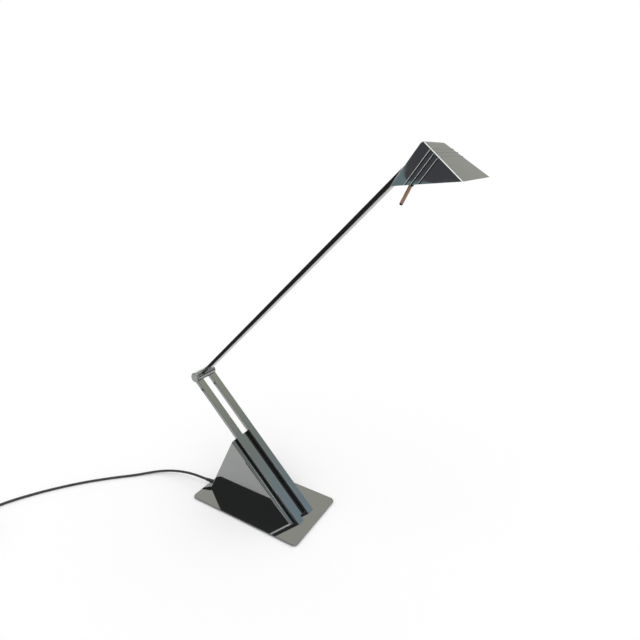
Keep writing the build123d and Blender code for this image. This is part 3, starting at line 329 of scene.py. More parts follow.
def round_bead(name, points, radius, closed):
    """Mesh of a round bead or wire through points."""
    curve = bpy.data.curves.new(name, "CURVE")
    curve.dimensions = "3D"
    curve.bevel_depth = radius
    curve.bevel_resolution = 3
    curve.use_fill_caps = True
    line = curve.splines.new("POLY")
    line.points.add(len(points) - 1)
    for spline_point, point in zip(line.points, points):
        spline_point.co = (*point, 1.0)
    line.use_cyclic_u = closed
    holder = bpy.data.objects.new(name, curve)
    mesh = bpy.data.meshes.new_from_object(holder)
    bpy.data.objects.remove(holder)
    return mesh


def turned_axes(origin, across, along):
    """Matrix whose X is across and Z is along, at a point."""
    up = along.cross(across)
    turn = Matrix((across, up, along)).transposed().to_4x4()
    return Matrix.Translation(origin) @ turn


def joined_piece(name, meshes, material):
    """One object, in one material, from several meshes that it uses up."""
    joined = bmesh.new()
    for mesh in meshes:
        joined.from_mesh(mesh)
        bpy.data.meshes.remove(mesh)
    mesh = bpy.data.meshes.new(name)
    joined.to_mesh(mesh)
    joined.free()
    for face in mesh.polygons:
        face.use_smooth = True
        face.material_index = 0
    mesh.materials.append(material)
    piece = bpy.data.objects.new(name, mesh)
    bpy.context.scene.collection.objects.link(piece)
    return piece


def on_rocker(mesh, half):
    """Lays a mark on the upper (1) or lower (-1) half of the rocker's hollow face."""
    lift = rocker_middle_height + mark_offset * math.tan(rocker_face_slope)
    panel_axes = turned_axes(rocker_pivot, Vector((0, -1, 0)), back_out)
    rocker_axes = panel_axes @ Matrix.Rotation(rocker_rest_tilt, 4, "X")
    spot = Matrix.Translation((0, half * mark_offset, lift))
    spot = spot @ Matrix.Rotation(half * rocker_face_slope, 4, "X")
    mesh.transform(rocker_axes @ spot)
    return mesh


ring_angles = [2 * math.pi * step / ring_steps for step in range(ring_steps)]
ring_points = [(mark_size * math.cos(angle), mark_size * math.sin(angle), 0) for angle in ring_angles]
bar_points = [(-mark_size, 0, 0), (mark_size, 0, 0)]
off_mark = on_rocker(round_bead("off_ring", ring_points, mark_bead, True), 1)
on_mark = on_rocker(round_bead("on_bar", bar_points, mark_bead, False), -1)
white_ink = moulded("white_pad_printed_ink", "#DEDED8", "#EFEFEA",
                    grain_mm=0.3, gloss=0.4, matt=0.55, relief_mm=0.02)
marks = joined_piece("switch_marks", [off_mark, on_mark], white_ink)
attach(marks, "rocker")

# Legs and elbow.
# Two flat chromium-plated steel tubes, screwed on spacers to the housing's front, each with a turned knuckle
# on its top end. A steel pin with flat end discs runs through the knuckles, on black nylon washers.

finish_node(chrome, "near_leg", "far_leg", "near_knuckle", "far_knuckle", "elbow_caps")
finish_node(zinc_steel, "elbow_pin", "leg_spacers")
finish_node(black_nylon, "elbow_washers")

# Arm.
# The same flat tube, about 550 mm long, on the middle knuckle of the elbow.
# Its top end holds a steel tongue whose eye turns on the head's pin.

finish_node(chrome, "arm_knuckle", "arm_tube")
finish_node(zinc_steel, "arm_tongue")

# Shade.
# One chromium-plated sheet folded to a tent with flaring sides, three pressed beads round it,
# and a slot in its back for the arm.

finish_node(chrome, "shade")

# Head joint.
# A folded steel bracket inside the shade carries the pin that the arm's tongue turns on.
# Two domed steel rivets hold it to the shade's back.

neck = Vector((0.229038, 0.0, 0.604404))
head_tilt = math.radians(6.8)
head_forward = Vector((math.cos(head_tilt), 0.0, math.sin(head_tilt)))
head_up = Vector((-math.sin(head_tilt), 0.0, math.cos(head_tilt)))
shade_height = 0.0502
ridge_from_neck = 0.056
shade_back_rise = head_tilt + math.atan2(shade_height, ridge_from_neck)
shade_back_up = Vector((math.cos(shade_back_rise), 0.0, math.sin(shade_back_rise)))
shade_back_in = Vector((math.sin(shade_back_rise), 0.0, -math.cos(shade_back_rise)))
rivet_up = 0.06355
rivet_spread = 0.016
rivet_grip = 0.003
rivet_sizes = {"Head Radius": 0.0027, "Head Height": 0.0011}
rivet_segments = 32
rivet_rings = 16
rivet_cut = -0.01


def dome_head_tree(name, material):
    """Domed rivet head: the upper half of a flattened ball."""
    tree, size = sized_tree(name, rivet_sizes)
    ball = add_node(tree, "GeometryNodeMeshUVSphere", {
        "Segments": rivet_segments, "Rings": rivet_rings, "Radius": 1.0})
    spread = add_node(tree, "ShaderNodeCombineXYZ", {
        "X": size["Head Radius"], "Y": size["Head Radius"], "Z": size["Head Height"]})
    position = add_node(tree, "GeometryNodeInputPosition")
    height = add_node(tree, "ShaderNodeSeparateXYZ", {"Vector": position.outputs["Position"]})
    below = add_node(tree, "ShaderNodeMath", {0: height.outputs["Z"], 1: rivet_cut}, operation="LESS_THAN")
    dome = add_node(tree, "GeometryNodeDeleteGeometry", {
        "Geometry": ball.outputs["Mesh"], "Selection": below.outputs[0]})
    head = add_node(tree, "GeometryNodeTransform", {
        "Geometry": dome.outputs["Geometry"], "Scale": spread.outputs["Vector"]})
    smooth = add_node(tree, "GeometryNodeSetShadeSmooth", {"Geometry": head.outputs["Geometry"]})
    end_tree(tree, seated(tree, size["Geometry"], smooth.outputs["Geometry"]), material)
    return tree


rivet_places = []
rivet_facing = []
for side in (-1, 1):
    outside = neck + shade_back_up * rivet_up + Vector((0, side * rivet_spread / 2, 0))
    rivet_places += [outside, outside + shade_back_in * rivet_grip]
    rivet_facing += [-shade_back_in, shade_back_in]
rivets = run_tree("domed_rivets", dome_head_tree("rivet_heads", zinc_steel), rivet_sizes,
                  seats("rivet_seats", rivet_places, rivet_facing))
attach(rivets, "head")
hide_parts("bracket_rivets")
finish_node(zinc_steel, "head_bracket", "head_pin", "head_nut")
finish_node(black_nylon, "head_washers")

# Grip.
# A brown phenolic rod on a steel stem from the bracket, with a black moulded collar above it
# and a rounded black tip below. It stays cool enough to aim the head by.

phenolic = moulded("brown_phenolic_resin", "#85604F", "#A07A67",
                   grain_mm=0.8, gloss=0.28, matt=0.42, relief_mm=0.04)
tip_rubber = moulded("black_rubber_tip", "#1D1B1A", "#2B2827",
                     grain_mm=0.5, gloss=0.5, matt=0.7, relief_mm=0.06)
finish_node(zinc_steel, "grip_stem")
finish_node(phenolic, "grip_handle")
finish_node(black_nylon, "grip_collar")
finish_node(tip_rubber, "grip_tip")


# Reflector and lamp holder.
# A half pipe of bright-rolled aluminium over the bulb, on two turned studs from the shade's front.
# A block of fired steatite in its closed end takes the bulb's pins.

def rolled_aluminium():
    """Bright-rolled aluminium: fine rolling lines across the half pipe, drawn 0.4 mm apart to show."""
    line_mm = 0.4
    line_stretch = (1.0, 0.03, 1.0)
    material, tree, place = new_material("bright_rolled_aluminium")
    stretch = add_node(tree, "ShaderNodeMapping", {"Vector": place, "Scale": line_stretch})
    lines = add_node(tree, "ShaderNodeTexNoise", {
        "Vector": stretch.outputs["Vector"], "Scale": per_mm(line_mm), "Detail": 2.0})
    tint = add_node(tree, "ShaderNodeMix", {
        "Factor": lines.outputs["Fac"], "A": linear("#B9BBBC"), "B": linear("#DCDDDD")}, data_type="RGBA")
    sheen = add_node(tree, "ShaderNodeMapRange", {
        "Value": lines.outputs["Fac"], "To Min": 0.14, "To Max": 0.3})
    rolled = add_node(tree, "ShaderNodeBump", {
        "Height": lines.outputs["Fac"], "Strength": 0.15, "Distance": 0.00005})
    shader = add_node(tree, "ShaderNodeBsdfPrincipled", {
        "Base Color": tint.outputs["Result"], "Metallic": 1.0, "Roughness": sheen.outputs["Result"],
        "Normal": rolled.outputs["Normal"]})
    add_node(tree, "ShaderNodeOutputMaterial", {"Surface": shader.outputs["BSDF"]})
    return material


steatite = moulded("fired_steatite", "#D8D2C4", "#E9E5DA", grain_mm=0.7, gloss=0.4, matt=0.6, relief_mm=0.05)
finish_node(rolled_aluminium(), "reflector")
finish_node(zinc_steel, "reflector_studs")
finish_node(steatite, "lamp_holder")

# Bulb.
# A low-voltage halogen capsule: a clear quartz envelope pinched flat at its root, with a coiled tungsten
# filament on two wires. It plugs into the holder with two pins.

bulb_forward = 0.066
bulb_rise = 0.0145
bulb_across = 0.0122
bulb_root = neck + head_forward * bulb_forward + head_up * bulb_rise + Vector((0, bulb_across, 0))
bulb_radius = 0.00575
bulb_wall = 0.0009
dome_start = 0.02925
pinch_sections = [(0.0, 0.0050, 0.0020, 6.0), (0.0058, 0.0050, 0.0020, 6.0), (0.0070, 0.0052, 0.0030, 4.0),
                  (0.0085, 0.0055, 0.0046, 2.6), (0.0100, bulb_radius, bulb_radius, 2.0)]
throat_sections = [(0.0105, 0.0012, 0.0012, 2.0), (0.0112, 0.0034, 0.0034, 2.0)]
filament_start = 0.0165
filament_sizes = {"Coil Radius": 0.0009, "Coil Length": 0.0070, "Turns": 13.0, "Wire Radius": 0.00016}
filament_steps = 16
filament_sides = 8
lead_wire_apart = 0.0028
lead_wire_root = 0.004
lead_wire_radius = 1.6 * filament_sizes["Wire Radius"]


def lofted(name, sections):
    """Mesh skinned over sections along Z: distance, half width, half height and squareness of each."""
    around = 48
    shell = bmesh.new()
    rings = []
    for distance, half_width, half_height, squareness in sections:
        ring = []
        for step in range(around):
            angle = 2 * math.pi * step / around
            x, y = math.cos(angle), math.sin(angle)
            flat_x = math.copysign(abs(x) ** (2 / squareness), x)
            flat_y = math.copysign(abs(y) ** (2 / squareness), y)
            ring.append(shell.verts.new((half_width * flat_x, half_height * flat_y, distance)))
        rings.append(ring)
    for lower, upper in zip(rings, rings[1:]):
        for step in range(around):
            after = (step + 1) % around
            shell.faces.new((lower[step], lower[after], upper[after], upper[step]))
    shell.faces.new(reversed(rings[0]))
    shell.faces.new(rings[-1])
    mesh = bpy.data.meshes.new(name)
    shell.to_mesh(mesh)
    shell.free()
    return mesh


def domed_end(start, radius):
    """Sections of a round end, ten degrees apart, with a tiny flat at its tip."""
    turns = [math.radians(angle) for angle in (*range(0, 90, 10), 88)]
    rounds = [(start + radius * math.sin(turn), radius * math.cos(turn)) for turn in turns]
    return [(distance, half, half, 2.0) for distance, half in rounds]


def quartz_glass():
    """Fused quartz: clear and colourless, with faint ripples from drawing and pinching."""
    ripple_mm = 3
    material, tree, place = new_material("fused_quartz")
    ripple = add_node(tree, "ShaderNodeTexNoise", {
        "Vector": place, "Scale": per_mm(ripple_mm), "Detail": 1.0})
    wave = add_node(tree, "ShaderNodeBump", {
        "Height": ripple.outputs["Fac"], "Strength": 0.2, "Distance": 0.0001})
    gloss = add_node(tree, "ShaderNodeMapRange", {
        "Value": ripple.outputs["Fac"], "To Min": 0.0, "To Max": 0.04})
    shader = add_node(tree, "ShaderNodeBsdfPrincipled", {
        "Base Color": linear("#FBFCFC"), "Roughness": gloss.outputs["Result"], "IOR": 1.458,
        "Transmission Weight": 1.0, "Normal": wave.outputs["Normal"]})
    add_node(tree, "ShaderNodeOutputMaterial", {"Surface": shader.outputs["BSDF"]})
    return material


def coiled_wire_tree(name, material):
    """A wire wound to a helix along Z."""
    tree, size = sized_tree(name, filament_sizes)
    helix = add_node(tree, "GeometryNodeCurveSpiral", {
        "Resolution": filament_steps, "Rotations": size["Turns"], "Start Radius": size["Coil Radius"],
        "End Radius": size["Coil Radius"], "Height": size["Coil Length"]})
    section = add_node(tree, "GeometryNodeCurvePrimitiveCircle", {
        "Resolution": filament_sides, "Radius": size["Wire Radius"]})
    wire = add_node(tree, "GeometryNodeCurveToMesh", {
        "Curve": helix.outputs["Curve"], "Profile Curve": section.outputs["Curve"], "Fill Caps": True})
    end_tree(tree, wire.outputs["Mesh"], material)
    return tree


bulb_axes = turned_axes(bulb_root, head_forward, Vector((0, -1, 0)))
envelope = lofted("envelope", pinch_sections + domed_end(dome_start, bulb_radius))
hollow = lofted("hollow", throat_sections + domed_end(dome_start, bulb_radius - bulb_wall))
hollow.flip_normals()
for glass_mesh in (envelope, hollow):
    glass_mesh.transform(bulb_axes)
capsule = joined_piece("quartz_capsule", [envelope, hollow], quartz_glass())
tungsten = worked_metal("drawn_tungsten_wire", "#4C4B4A", "#75726E", patch_mm=0.5, gloss=0.35, matt=0.5)
filament = run_tree("filament", coiled_wire_tree("coiled_wire", tungsten), filament_sizes,
                    bpy.data.meshes.new("filament"))
filament.data.transform(bulb_axes @ Matrix.Translation((0, 0, filament_start)))
wire_meshes = []
for side, reach in ((-1, filament_start), (1, filament_start + filament_sizes["Coil Length"])):
    leg_x = side * lead_wire_apart
    tip_x = side * filament_sizes["Coil Radius"]
    wire_points = [(leg_x, 0, lead_wire_root), (leg_x, 0, reach), (tip_x, 0, reach)]
    wire = round_bead("lead_wire", wire_points, lead_wire_radius, False)
    wire.transform(bulb_axes)
    wire_meshes.append(wire)
lead_wires = joined_piece("filament_wires", wire_meshes, tungsten)
for piece in (capsule, filament, lead_wires):
    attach(piece, "head")
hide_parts("bulb")

# Strain relief.
# A tapered black nylon sleeve, clamped in the back panel by a nut inside it.
# Its ribs stiffen the root and let the tip bend with the lead.

gland_root = Vector((-0.103251, -0.0215, 0.0112))
gland_rise = math.radians(12.5)
gland_turn = math.radians(16.0)
gland_length = 0.021
gland_axis = Vector((-math.cos(gland_turn), -math.sin(gland_turn), math.tan(gland_rise))).normalized()
gland_tip = gland_root + gland_axis * gland_length
gland_rib_sizes = {"Count": 5, "Start": 0.0055, "Spacing": 0.0026, "Start Radius": 0.00370,
                   "End Radius": 0.00320, "Rib Radius": 0.00045}
hoop_steps = 40
rib_sides = 10


def ribbed_sleeve_tree(name, material):
    """Round ribs in a row along Z, from one radius to another."""
    tree, size = sized_tree(name, gland_rib_sizes)
    first = add_node(tree, "ShaderNodeCombineXYZ", {"Z": size["Start"]})
    step = add_node(tree, "ShaderNodeCombineXYZ", {"Z": size["Spacing"]})
    row = add_node(tree, "GeometryNodeMeshLine", {
        "Count": size["Count"], "Start Location": first.outputs["Vector"], "Offset": step.outputs["Vector"]})
    hoop = add_node(tree, "GeometryNodeCurvePrimitiveCircle", {
        "Resolution": hoop_steps, "Radius": size["Start Radius"]})
    section = add_node(tree, "GeometryNodeCurvePrimitiveCircle", {
        "Resolution": rib_sides, "Radius": size["Rib Radius"]})
    rib = add_node(tree, "GeometryNodeCurveToMesh", {
        "Curve": hoop.outputs["Curve"], "Profile Curve": section.outputs["Curve"]})
    last = add_node(tree, "ShaderNodeMath", {0: size["Count"], 1: 1.0}, operation="SUBTRACT")
    taper = add_node(tree, "ShaderNodeMath", {
        0: size["End Radius"], 1: size["Start Radius"]}, operation="DIVIDE")
    index = add_node(tree, "GeometryNodeInputIndex")
    scale = add_node(tree, "ShaderNodeMapRange", {
        "Value": index.outputs["Index"], "From Max": last.outputs[0], "To Min": 1.0,
        "To Max": taper.outputs[0]})
    placed = add_node(tree, "GeometryNodeInstanceOnPoints", {
        "Points": row.outputs["Mesh"], "Instance": rib.outputs["Mesh"], "Scale": scale.outputs["Result"]})
    end_tree(tree, placed.outputs["Instances"], material)
    return tree


gland_ribs = run_tree("strain_relief_ribs", ribbed_sleeve_tree("sleeve_ribs", black_nylon), gland_rib_sizes,
                      bpy.data.meshes.new("strain_relief_ribs"))
gland_side = gland_axis.cross(Vector((0, 0, 1))).normalized()
gland_ribs.data.transform(turned_axes(gland_root, gland_side, gland_axis))
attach(gland_ribs, "base")
finish_node(black_nylon, "cord_gland")

# Mains lead.
# A round two-core PVC lead, 4.8 mm thick and 1.9 m long, black with a soft gloss.
# It leaves the strain relief, arches down to the table and ends in a tied coil with its plug beside it.

cord_radius = 0.0024
lead_straight = 0.012
coil_centre = Vector((-0.372, -0.366, 0.0))
coil_radius = 0.044
coil_pitch = 0.0054
coil_layer = 0.0054
coil_turns = 3
coil_z = 0.0034
points_per_turn = 16
tail_level = 0.0208
tail_low = 0.0428
tail_end = 0.0588


def coil_points():
    """Control points of the coil, anticlockwise from its -X side: inwards below, up in half a turn,
    and outwards on top."""
    inward = coil_turns * points_per_turn
    climb = points_per_turn // 2
    outward = (2 * coil_turns - 1) * points_per_turn // 2
    inner = coil_radius - coil_turns * coil_pitch
    bulge = 1 / math.cos(math.pi / points_per_turn)
    points = []
    for step in range(1, inward + climb + outward):
        if step <= inward:
            radius = coil_radius - coil_pitch * step / points_per_turn
            height = 0.0
        elif step <= inward + climb:
            radius = inner
            height = coil_layer * (step - inward) / climb
        else:
            radius = inner + coil_pitch * (step - inward - climb) / points_per_turn
            height = coil_layer
        angle = math.pi + 2 * math.pi * step / points_per_turn
        offset = Vector((math.cos(angle), math.sin(angle), 0)) * radius * bulge
        points.append(coil_centre + offset + Vector((0, 0, coil_z + height)))
    return points


lead_x = coil_centre.x - coil_radius
lead_y = coil_centre.y
top_z = coil_z + coil_layer
plug_z = 0.00685
cord_route = [gland_tip, gland_tip + gland_axis * lead_straight]
cord_route += [Vector(point) for point in (
    (-0.158, -0.0324, 0.0184), (-0.186, -0.0356, 0.0146), (-0.214, -0.0406, 0.0088),
    (-0.241, -0.0537, 0.0044), (-0.269, -0.0827, 0.0025), (-0.305, -0.1162, 0.0025),
    (-0.345, -0.1598, 0.0025), (-0.382, -0.2118, 0.0025), (-0.409, -0.2620, 0.0029),
    (lead_x - 0.004, -0.300, coil_z), (lead_x, -0.334, coil_z), (lead_x, lead_y, coil_z))]
cord_route += coil_points()
cord_route += [Vector(point) for point in (
    (lead_x, lead_y, top_z), (lead_x, lead_y - tail_level, top_z), (lead_x, lead_y - tail_low, plug_z),
    (lead_x, lead_y - tail_end, plug_z))]

cord_curve = bpy.data.curves.new("mains_lead", "CURVE")
cord_curve.dimensions = "3D"
cord_curve.bevel_depth = cord_radius
cord_curve.bevel_resolution = 5
cord_curve.resolution_u = 8
cord_curve.use_fill_caps = True
cord_line = cord_curve.splines.new("NURBS")
cord_line.points.add(len(cord_route) - 1)
for spline_point, place in zip(cord_line.points, cord_route):
    spline_point.co = (*place, 1.0)
cord_line.order_u = 3
cord_line.use_endpoint_u = True
mains_lead = bpy.data.objects.new("mains_lead", cord_curve)
bpy.context.scene.collection.objects.link(mains_lead)
pvc_sheath = moulded("extruded_pvc_sheath", "#151516", "#232326",
                     grain_mm=1.2, gloss=0.36, matt=0.5, relief_mm=0.06)
cord_curve.materials.append(pvc_sheath)

# Plug.
# A flat two-pin plug moulded in black PVC on the lead's end, waisted for the fingers, with a ribbed neck.
# Its pins are nickel-plated brass.

plug_start = Vector((lead_x, lead_y - tail_end, plug_z))
plug_sections = [(0.0, 0.0030, 0.0030, 2.0), (0.010, 0.0042, 0.0042, 2.0), (0.0190, 0.0054, 0.0053, 2.0),
                 (0.0205, 0.0066, 0.0056, 2.2), (0.0225, 0.0106, 0.0061, 2.6), (0.0255, 0.0140, 0.0065, 3.0),
                 (0.0290, 0.0152, 0.0066, 3.4), (0.0340, 0.0149, 0.0064, 3.6), (0.0390, 0.0155, 0.0066, 4.0),
                 (0.0430, 0.0167, 0.0068, 4.5), (0.0465, 0.0170, 0.00685, 5.0), (0.0490, 0.0169, 0.0068, 5.0),
                 (0.0498, 0.0165, 0.0064, 5.0), (0.0500, 0.0158, 0.0058, 5.0)]
neck_rib_sizes = {"Count": 5, "Start": 0.0030, "Spacing": 0.0032, "Start Radius": 0.0033,
                  "End Radius": 0.0049, "Rib Radius": 0.0006}

moulded_pvc = moulded("moulded_black_pvc", "#131314", "#1E1E20",
                      grain_mm=0.7, gloss=0.4, matt=0.58, relief_mm=0.1)
nickel_brass = worked_metal("nickel_plated_brass", "#B7B2A4", "#D5D1C4", patch_mm=0.9, gloss=0.16, matt=0.3)
plug_axes = turned_axes(plug_start, Vector((1, 0, 0)), Vector((0, -1, 0)))
plug_shell = lofted("plug", plug_sections)
plug_shell.transform(plug_axes)
plug = joined_piece("moulded_plug", [plug_shell], moulded_pvc)
neck_ribs = run_tree("plug_neck_ribs", ribbed_sleeve_tree("neck_ribs", moulded_pvc), neck_rib_sizes,
                     bpy.data.meshes.new("plug_neck_ribs"))
neck_ribs.data.transform(plug_axes)
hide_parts("plug_body")
finish_node(nickel_brass, "plug_pins")

# Coil strap.
# A hook-and-loop strap of black woven nylon that ties the coil's turns together.
# It goes once round them, with its end pressed down on its start.

strap_width = 0.005
strap_thick = 0.0009
strap_from_centre = 0.0359
strap_z = 0.00655
strap_middle = Vector((coil_centre.x, coil_centre.y + strap_from_centre, strap_z))
strap_half_width = 0.0092
strap_half_height = 0.00605
strap_corner = 0.0038
strap_corner_steps = 8
strap_overlap = 5
strap_lap_points = 4
strap_lap_lift = 1.05 * strap_thick
weave_wrap = 0.3 * strap_thick


def strap_line():
    """Points of the strap's middle line from the top round to an end that lies on its start, with their
    outward directions, in the plane across the coil's turns."""
    reach = strap_half_width - strap_corner
    rise = strap_half_height - strap_corner
    line = []
    for corner, (side_y, side_z) in enumerate(((1, 1), (1, -1), (-1, -1), (-1, 1))):
        centre = Vector((side_y * reach, side_z * rise))
        for step in range(strap_corner_steps + 1):
            angle = math.radians(90 - 90 * corner - 90 * step / strap_corner_steps)
            outward = Vector((math.cos(angle), math.sin(angle)))
            line.append((centre + outward * strap_corner, outward))
    top = [(Vector((reach * (step / strap_overlap - 1), strap_half_height)), Vector((0, 1)))
           for step in range(1, 2 * strap_overlap)]
    lap = [(point + outward * strap_lap_lift * min(1, index / strap_overlap), outward)
           for index, (point, outward) in enumerate(top + line[:strap_lap_points])]
    return top[strap_overlap - 1:] + line + lap


def woven_strap():
    """Woven nylon: two sets of threads drawn 0.7 mm apart, so that they show, with a fuzz of loops."""
    thread_mm = 0.7
    fuzz_mm = 0.4
    material, tree, _ = new_material("woven_nylon_strap")
    along = add_node(tree, "ShaderNodeUVMap", uv_map="weave").outputs["UV"]
    threads = {"Vector": along, "Scale": band_scale(thread_mm)}
    warp = add_node(tree, "ShaderNodeTexWave", threads, bands_direction="X")
    weft = add_node(tree, "ShaderNodeTexWave", threads, bands_direction="Y")
    thread = add_node(tree, "ShaderNodeMath", {
        0: warp.outputs["Fac"], 1: weft.outputs["Fac"]}, operation="MULTIPLY")
    fuzz = add_node(tree, "ShaderNodeTexNoise", {"Vector": along, "Scale": per_mm(fuzz_mm), "Detail": 3.0})
    height = add_node(tree, "ShaderNodeMath", {0: thread.outputs[0], 1: fuzz.outputs["Fac"]}, operation="ADD")
    tint = add_node(tree, "ShaderNodeMix", {
        "Factor": thread.outputs[0], "A": linear("#0D0D0E"), "B": linear("#29292B")}, data_type="RGBA")
    relief = add_node(tree, "ShaderNodeBump", {
        "Height": height.outputs[0], "Strength": 0.6, "Distance": 0.0002})
    shader = add_node(tree, "ShaderNodeBsdfPrincipled", {
        "Base Color": tint.outputs["Result"], "Roughness": 0.85, "Sheen Weight": 0.3,
        "Normal": relief.outputs["Normal"]})
    add_node(tree, "ShaderNodeOutputMaterial", {"Surface": shader.outputs["BSDF"]})
    return material


def woven_band(name, line):
    """Mesh of a flat band along a line of points and outward directions, with a weave map in metres."""
    band = bmesh.new()
    weave = band.loops.layers.uv.new("weave")
    sections = []
    lengths = [0.0]
    for (start, _), (end, _) in zip(line, line[1:]):
        lengths.append(lengths[-1] + (end - start).length)
    for point, outward in line:
        section = []
        for across, lift in ((-1, -1), (1, -1), (1, 1), (-1, 1)):
            at = point + outward * lift * strap_thick / 2
            section.append(band.verts.new(strap_middle + Vector((across * strap_width / 2, at.x, at.y))))
        sections.append(section)
    for index, (section, following) in enumerate(zip(sections, sections[1:])):
        for edge in range(4):
            after = (edge + 1) % 4
            face = band.faces.new((section[edge], section[after], following[after], following[edge]))
            for loop, (row, corner) in zip(face.loops, ((0, edge), (0, after), (1, after), (1, edge))):
                sideways = loop.vert.co.x - strap_middle.x
                loop[weave].uv = (lengths[index + row], sideways + weave_wrap * corner)
    band.faces.new(reversed(sections[0]))
    band.faces.new(sections[-1])
    bmesh.ops.recalc_face_normals(band, faces=band.faces)
    mesh = bpy.data.meshes.new(name)
    band.to_mesh(mesh)
    band.free()
    mesh.materials.append(woven_strap())
    piece = bpy.data.objects.new(name, mesh)
    bpy.context.scene.collection.objects.link(piece)
    return piece


strap = woven_band("coil_strap", strap_line())
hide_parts("coil_tie")
for piece, slot_name in ((mains_lead, "cord"), (plug, "plug"), (neck_ribs, "plug"), (strap, "cord")):
    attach(piece, "base")
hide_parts("cord_run", "cord_coil", "cord_tail")

# Camera.
# A phone held as high as the shade, to the near right of the lamp, looking down at it.
# Its lens is given in pixels of the photograph's frame.

lens_px = 481.0
frame_px = 640.0
sensor_mm = 36.0
camera_place = Vector((0.48218, -0.61071, 0.64803))
azimuth = 0.53247
elevation = 0.34045
roll = 0.01514
backward = Vector((math.sin(azimuth) * math.cos(elevation), -math.cos(azimuth) * math.cos(elevation),
                   math.sin(elevation)))
level_right = (-backward).cross(Vector((0, 0, 1))).normalized()
level_up = level_right.cross(-backward)
right = level_right * math.cos(roll) + level_up * math.sin(roll)
up = level_up * math.cos(roll) - level_right * math.sin(roll)
camera_data = bpy.data.cameras.new("camera")
camera_data.sensor_width = sensor_mm
camera_data.lens = sensor_mm * lens_px / frame_px
camera_data.clip_end = 50.0
camera = bpy.data.objects.new("camera", camera_data)
bpy.context.scene.collection.objects.link(camera)
camera_turn = Matrix((right, up, backward)).transposed().to_4x4()
camera.matrix_world = Matrix.Translation(camera_place) @ camera_turn
bpy.context.scene.camera = camera

# Studio.
# A white floor in an even white room with one soft sun. Grey flags and bright cards round it, which only
# the metal mirrors, give the plating its dark sides and bright edges.

floor_reach = 40
studio_reach = 4.0
studio_height = 2.0
front_y = -1.6
left_x = -2.0
left_card_x = -1.98
floor_card_z = 0.001
front_split_x = -0.35
front_split_z = 0.8
ceiling_tones = ((-2.0, "#E6E6DE"), (1.1, "#E2E5D3"), (1.9, "#BAC6C0"), (3.3, "#B2C8D8"))
room_light = 0.82


def across_x(y, left, right, low, high):
    """Corners of an upright sheet that faces along Y."""
    return [(left, y, low), (right, y, low), (right, y, high), (left, y, high)]


def across_y(x, near, far, low, high):
    """Corners of an upright sheet that faces along X."""
    return [(x, near, low), (x, far, low), (x, far, high), (x, near, high)]


def level(z, left, right, near, far):
    """Corners of a level sheet."""
    return [(left, near, z), (right, near, z), (right, far, z), (left, far, z)]


def studio_sheet(name, corners, material):
    """A sheet of the studio."""
    mesh = bpy.data.meshes.new(name)
    mesh.from_pydata([Vector(corner) for corner in corners], [], [tuple(range(len(corners)))])
    mesh.materials.append(material)
    sheet = bpy.data.objects.new(name, mesh)
    bpy.context.scene.collection.objects.link(sheet)
    return sheet


def leave_to_mirrors(sheet):
    """Hides a sheet from the camera and from the light, so that only the metal shows it."""
    sheet.visible_camera = False
    sheet.visible_diffuse = False
    sheet.visible_shadow = False
    sheet.visible_transmission = False


def mirrored_card(name, corners, hex_code, strength=1.0):
    """A card of one colour that is seen in the metal alone."""
    material, tree, _ = new_material(name)
    glow = add_node(tree, "ShaderNodeEmission", {"Color": linear(hex_code), "Strength": strength})
    add_node(tree, "ShaderNodeOutputMaterial", {"Surface": glow.outputs["Emission"]})
    leave_to_mirrors(studio_sheet(name, corners, material))


floor_paint, floor_tree, _ = new_material("floor_paint")
floor_coat = add_node(floor_tree, "ShaderNodeBsdfDiffuse", {"Color": linear("#FCFCFC")})
add_node(floor_tree, "ShaderNodeOutputMaterial", {"Surface": floor_coat.outputs["BSDF"]})
studio_sheet("floor", level(0, -floor_reach, floor_reach, -floor_reach, floor_reach), floor_paint)

ceiling_paint, ceiling_tree, ceiling_place = new_material("ceiling_paint")
ceiling_x = add_node(ceiling_tree, "ShaderNodeSeparateXYZ", {"Vector": ceiling_place}).outputs["X"]
ceiling_share = add_node(ceiling_tree, "ShaderNodeMapRange", {
    "Value": ceiling_x, "From Min": -studio_reach, "From Max": studio_reach})
ceiling_ramp = add_node(ceiling_tree, "ShaderNodeValToRGB", {"Fac": ceiling_share.outputs["Result"]})
tone_stops = ceiling_ramp.color_ramp.elements
for x, hex_code in ceiling_tones:
    tone_stops.new((x + studio_reach) / (2 * studio_reach)).color = linear(hex_code)
tone_stops.remove(tone_stops[-1])
tone_stops.remove(tone_stops[0])
ceiling_glow = add_node(ceiling_tree, "ShaderNodeEmission", {"Color": ceiling_ramp.outputs["Color"]})
add_node(ceiling_tree, "ShaderNodeOutputMaterial", {"Surface": ceiling_glow.outputs["Emission"]})
ceiling_corners = level(studio_height, -studio_reach, studio_reach, front_y, studio_reach)
leave_to_mirrors(studio_sheet("ceiling", ceiling_corners, ceiling_paint))

corner_y = -0.63
corner_z = 0.351
corner_radius = 0.04
corner_turns = [math.radians(angle) for angle in range(0, 91, 15)]
dark_outline = [(front_y, 0.2), (-0.78, 0.282), (-0.7, 0.303)]
dark_outline += [(corner_y + corner_radius * math.sin(turn), corner_z - corner_radius * math.cos(turn))
                 for turn in corner_turns]
dark_outline += [(-0.595, 0.4), (-0.61, 0.45), (-0.66, 0.6), (-0.66, studio_height), (front_y, studio_height)]
near_floor = [(-0.1, -0.4), (0.6, -0.4), (0.6, 0.15), (0.13, 0.15), (0.13, -0.17), (-0.1, -0.17)]
mirrored_card("front_flag", across_x(front_y, -3, 3, front_split_z, studio_height), "#747476")
mirrored_card("front_low_flag", across_x(front_y, -3, front_split_x, 0, front_split_z), "#3F3F3C")
mirrored_card("front_low_card", across_x(front_y, front_split_x, 5, 0, front_split_z), "#D0D4D4")
mirrored_card("left_flag", across_y(left_x, front_y, 0, 0, studio_height), "#A4BEC4")
mirrored_card("left_dark_flag", [(left_card_x, y, z) for y, z in dark_outline], "#6A6A70")
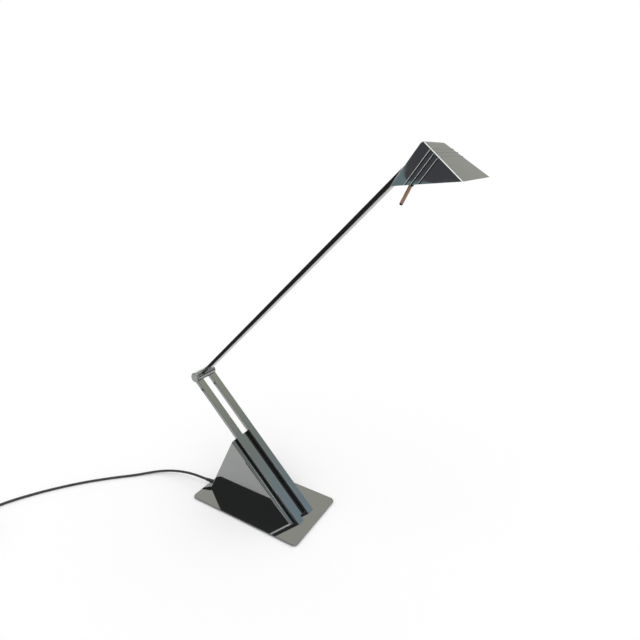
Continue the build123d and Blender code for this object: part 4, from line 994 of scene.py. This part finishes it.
mirrored_card("left_low_flag", across_y(left_card_x, 0, 1.0, 0, 0.3), "#3A3A3A")
mirrored_card("left_card", across_y(left_card_x, 0, 3.4, 0.9, 1.9), "#FFFFFF", strength=2.4)
mirrored_card("back_dark_flag", across_x(1.1, 0.7, 1.7, 0, 0.55), "#3A3A3E")
mirrored_card("floor_flag", level(floor_card_z, -3, 3, front_y, -0.4), "#3F3F3C")
mirrored_card("near_floor_flag", [(x, y, floor_card_z) for x, y in near_floor], "#3F3F3C")
mirrored_card("back_wall", across_x(studio_reach, -studio_reach, studio_reach, 0.6, studio_height), "#BABBB3")
mirrored_card("overhead_card", level(1.9, -0.5, 1.0, -1.1, 0.3), "#FFFFFF", strength=3.6)
slanting = [(1.5, -0.5, 1.0), (1.9, -0.5, 1.4), (1.9, 0.3, 1.8), (1.5, 0.3, 1.4)]
mirrored_card("right_card", slanting, "#FFFFFF", strength=3.0)

sun_light = bpy.data.lights.new("soft_sun", "SUN")
sun_light.energy = 0.78
sun_light.angle = math.radians(50)
soft_sun = bpy.data.objects.new("soft_sun", sun_light)
soft_sun.rotation_euler = (math.radians(28), math.radians(14), 0)
soft_sun.visible_glossy = False
bpy.context.scene.collection.objects.link(soft_sun)

world = bpy.data.worlds.new("white_room")
bpy.context.scene.world = world
world.use_nodes = True
room = world.node_tree
room.nodes.clear()
ray = add_node(room, "ShaderNodeLightPath")
seen = add_node(room, "ShaderNodeMath", {
    0: ray.outputs["Is Camera Ray"], 1: ray.outputs["Is Glossy Ray"]}, operation="MAXIMUM")
seen = add_node(room, "ShaderNodeMath", {
    0: seen.outputs[0], 1: ray.outputs["Is Transmission Ray"]}, operation="MAXIMUM")
strength = add_node(room, "ShaderNodeMapRange", {
    "Value": seen.outputs[0], "To Min": room_light, "To Max": 1.0})
white = add_node(room, "ShaderNodeBackground", {
    "Color": linear("#FFFFFF"), "Strength": strength.outputs["Result"]})
add_node(room, "ShaderNodeOutputWorld", {"Surface": white.outputs["Background"]})
bpy.context.scene.view_settings.view_transform = "Standard"
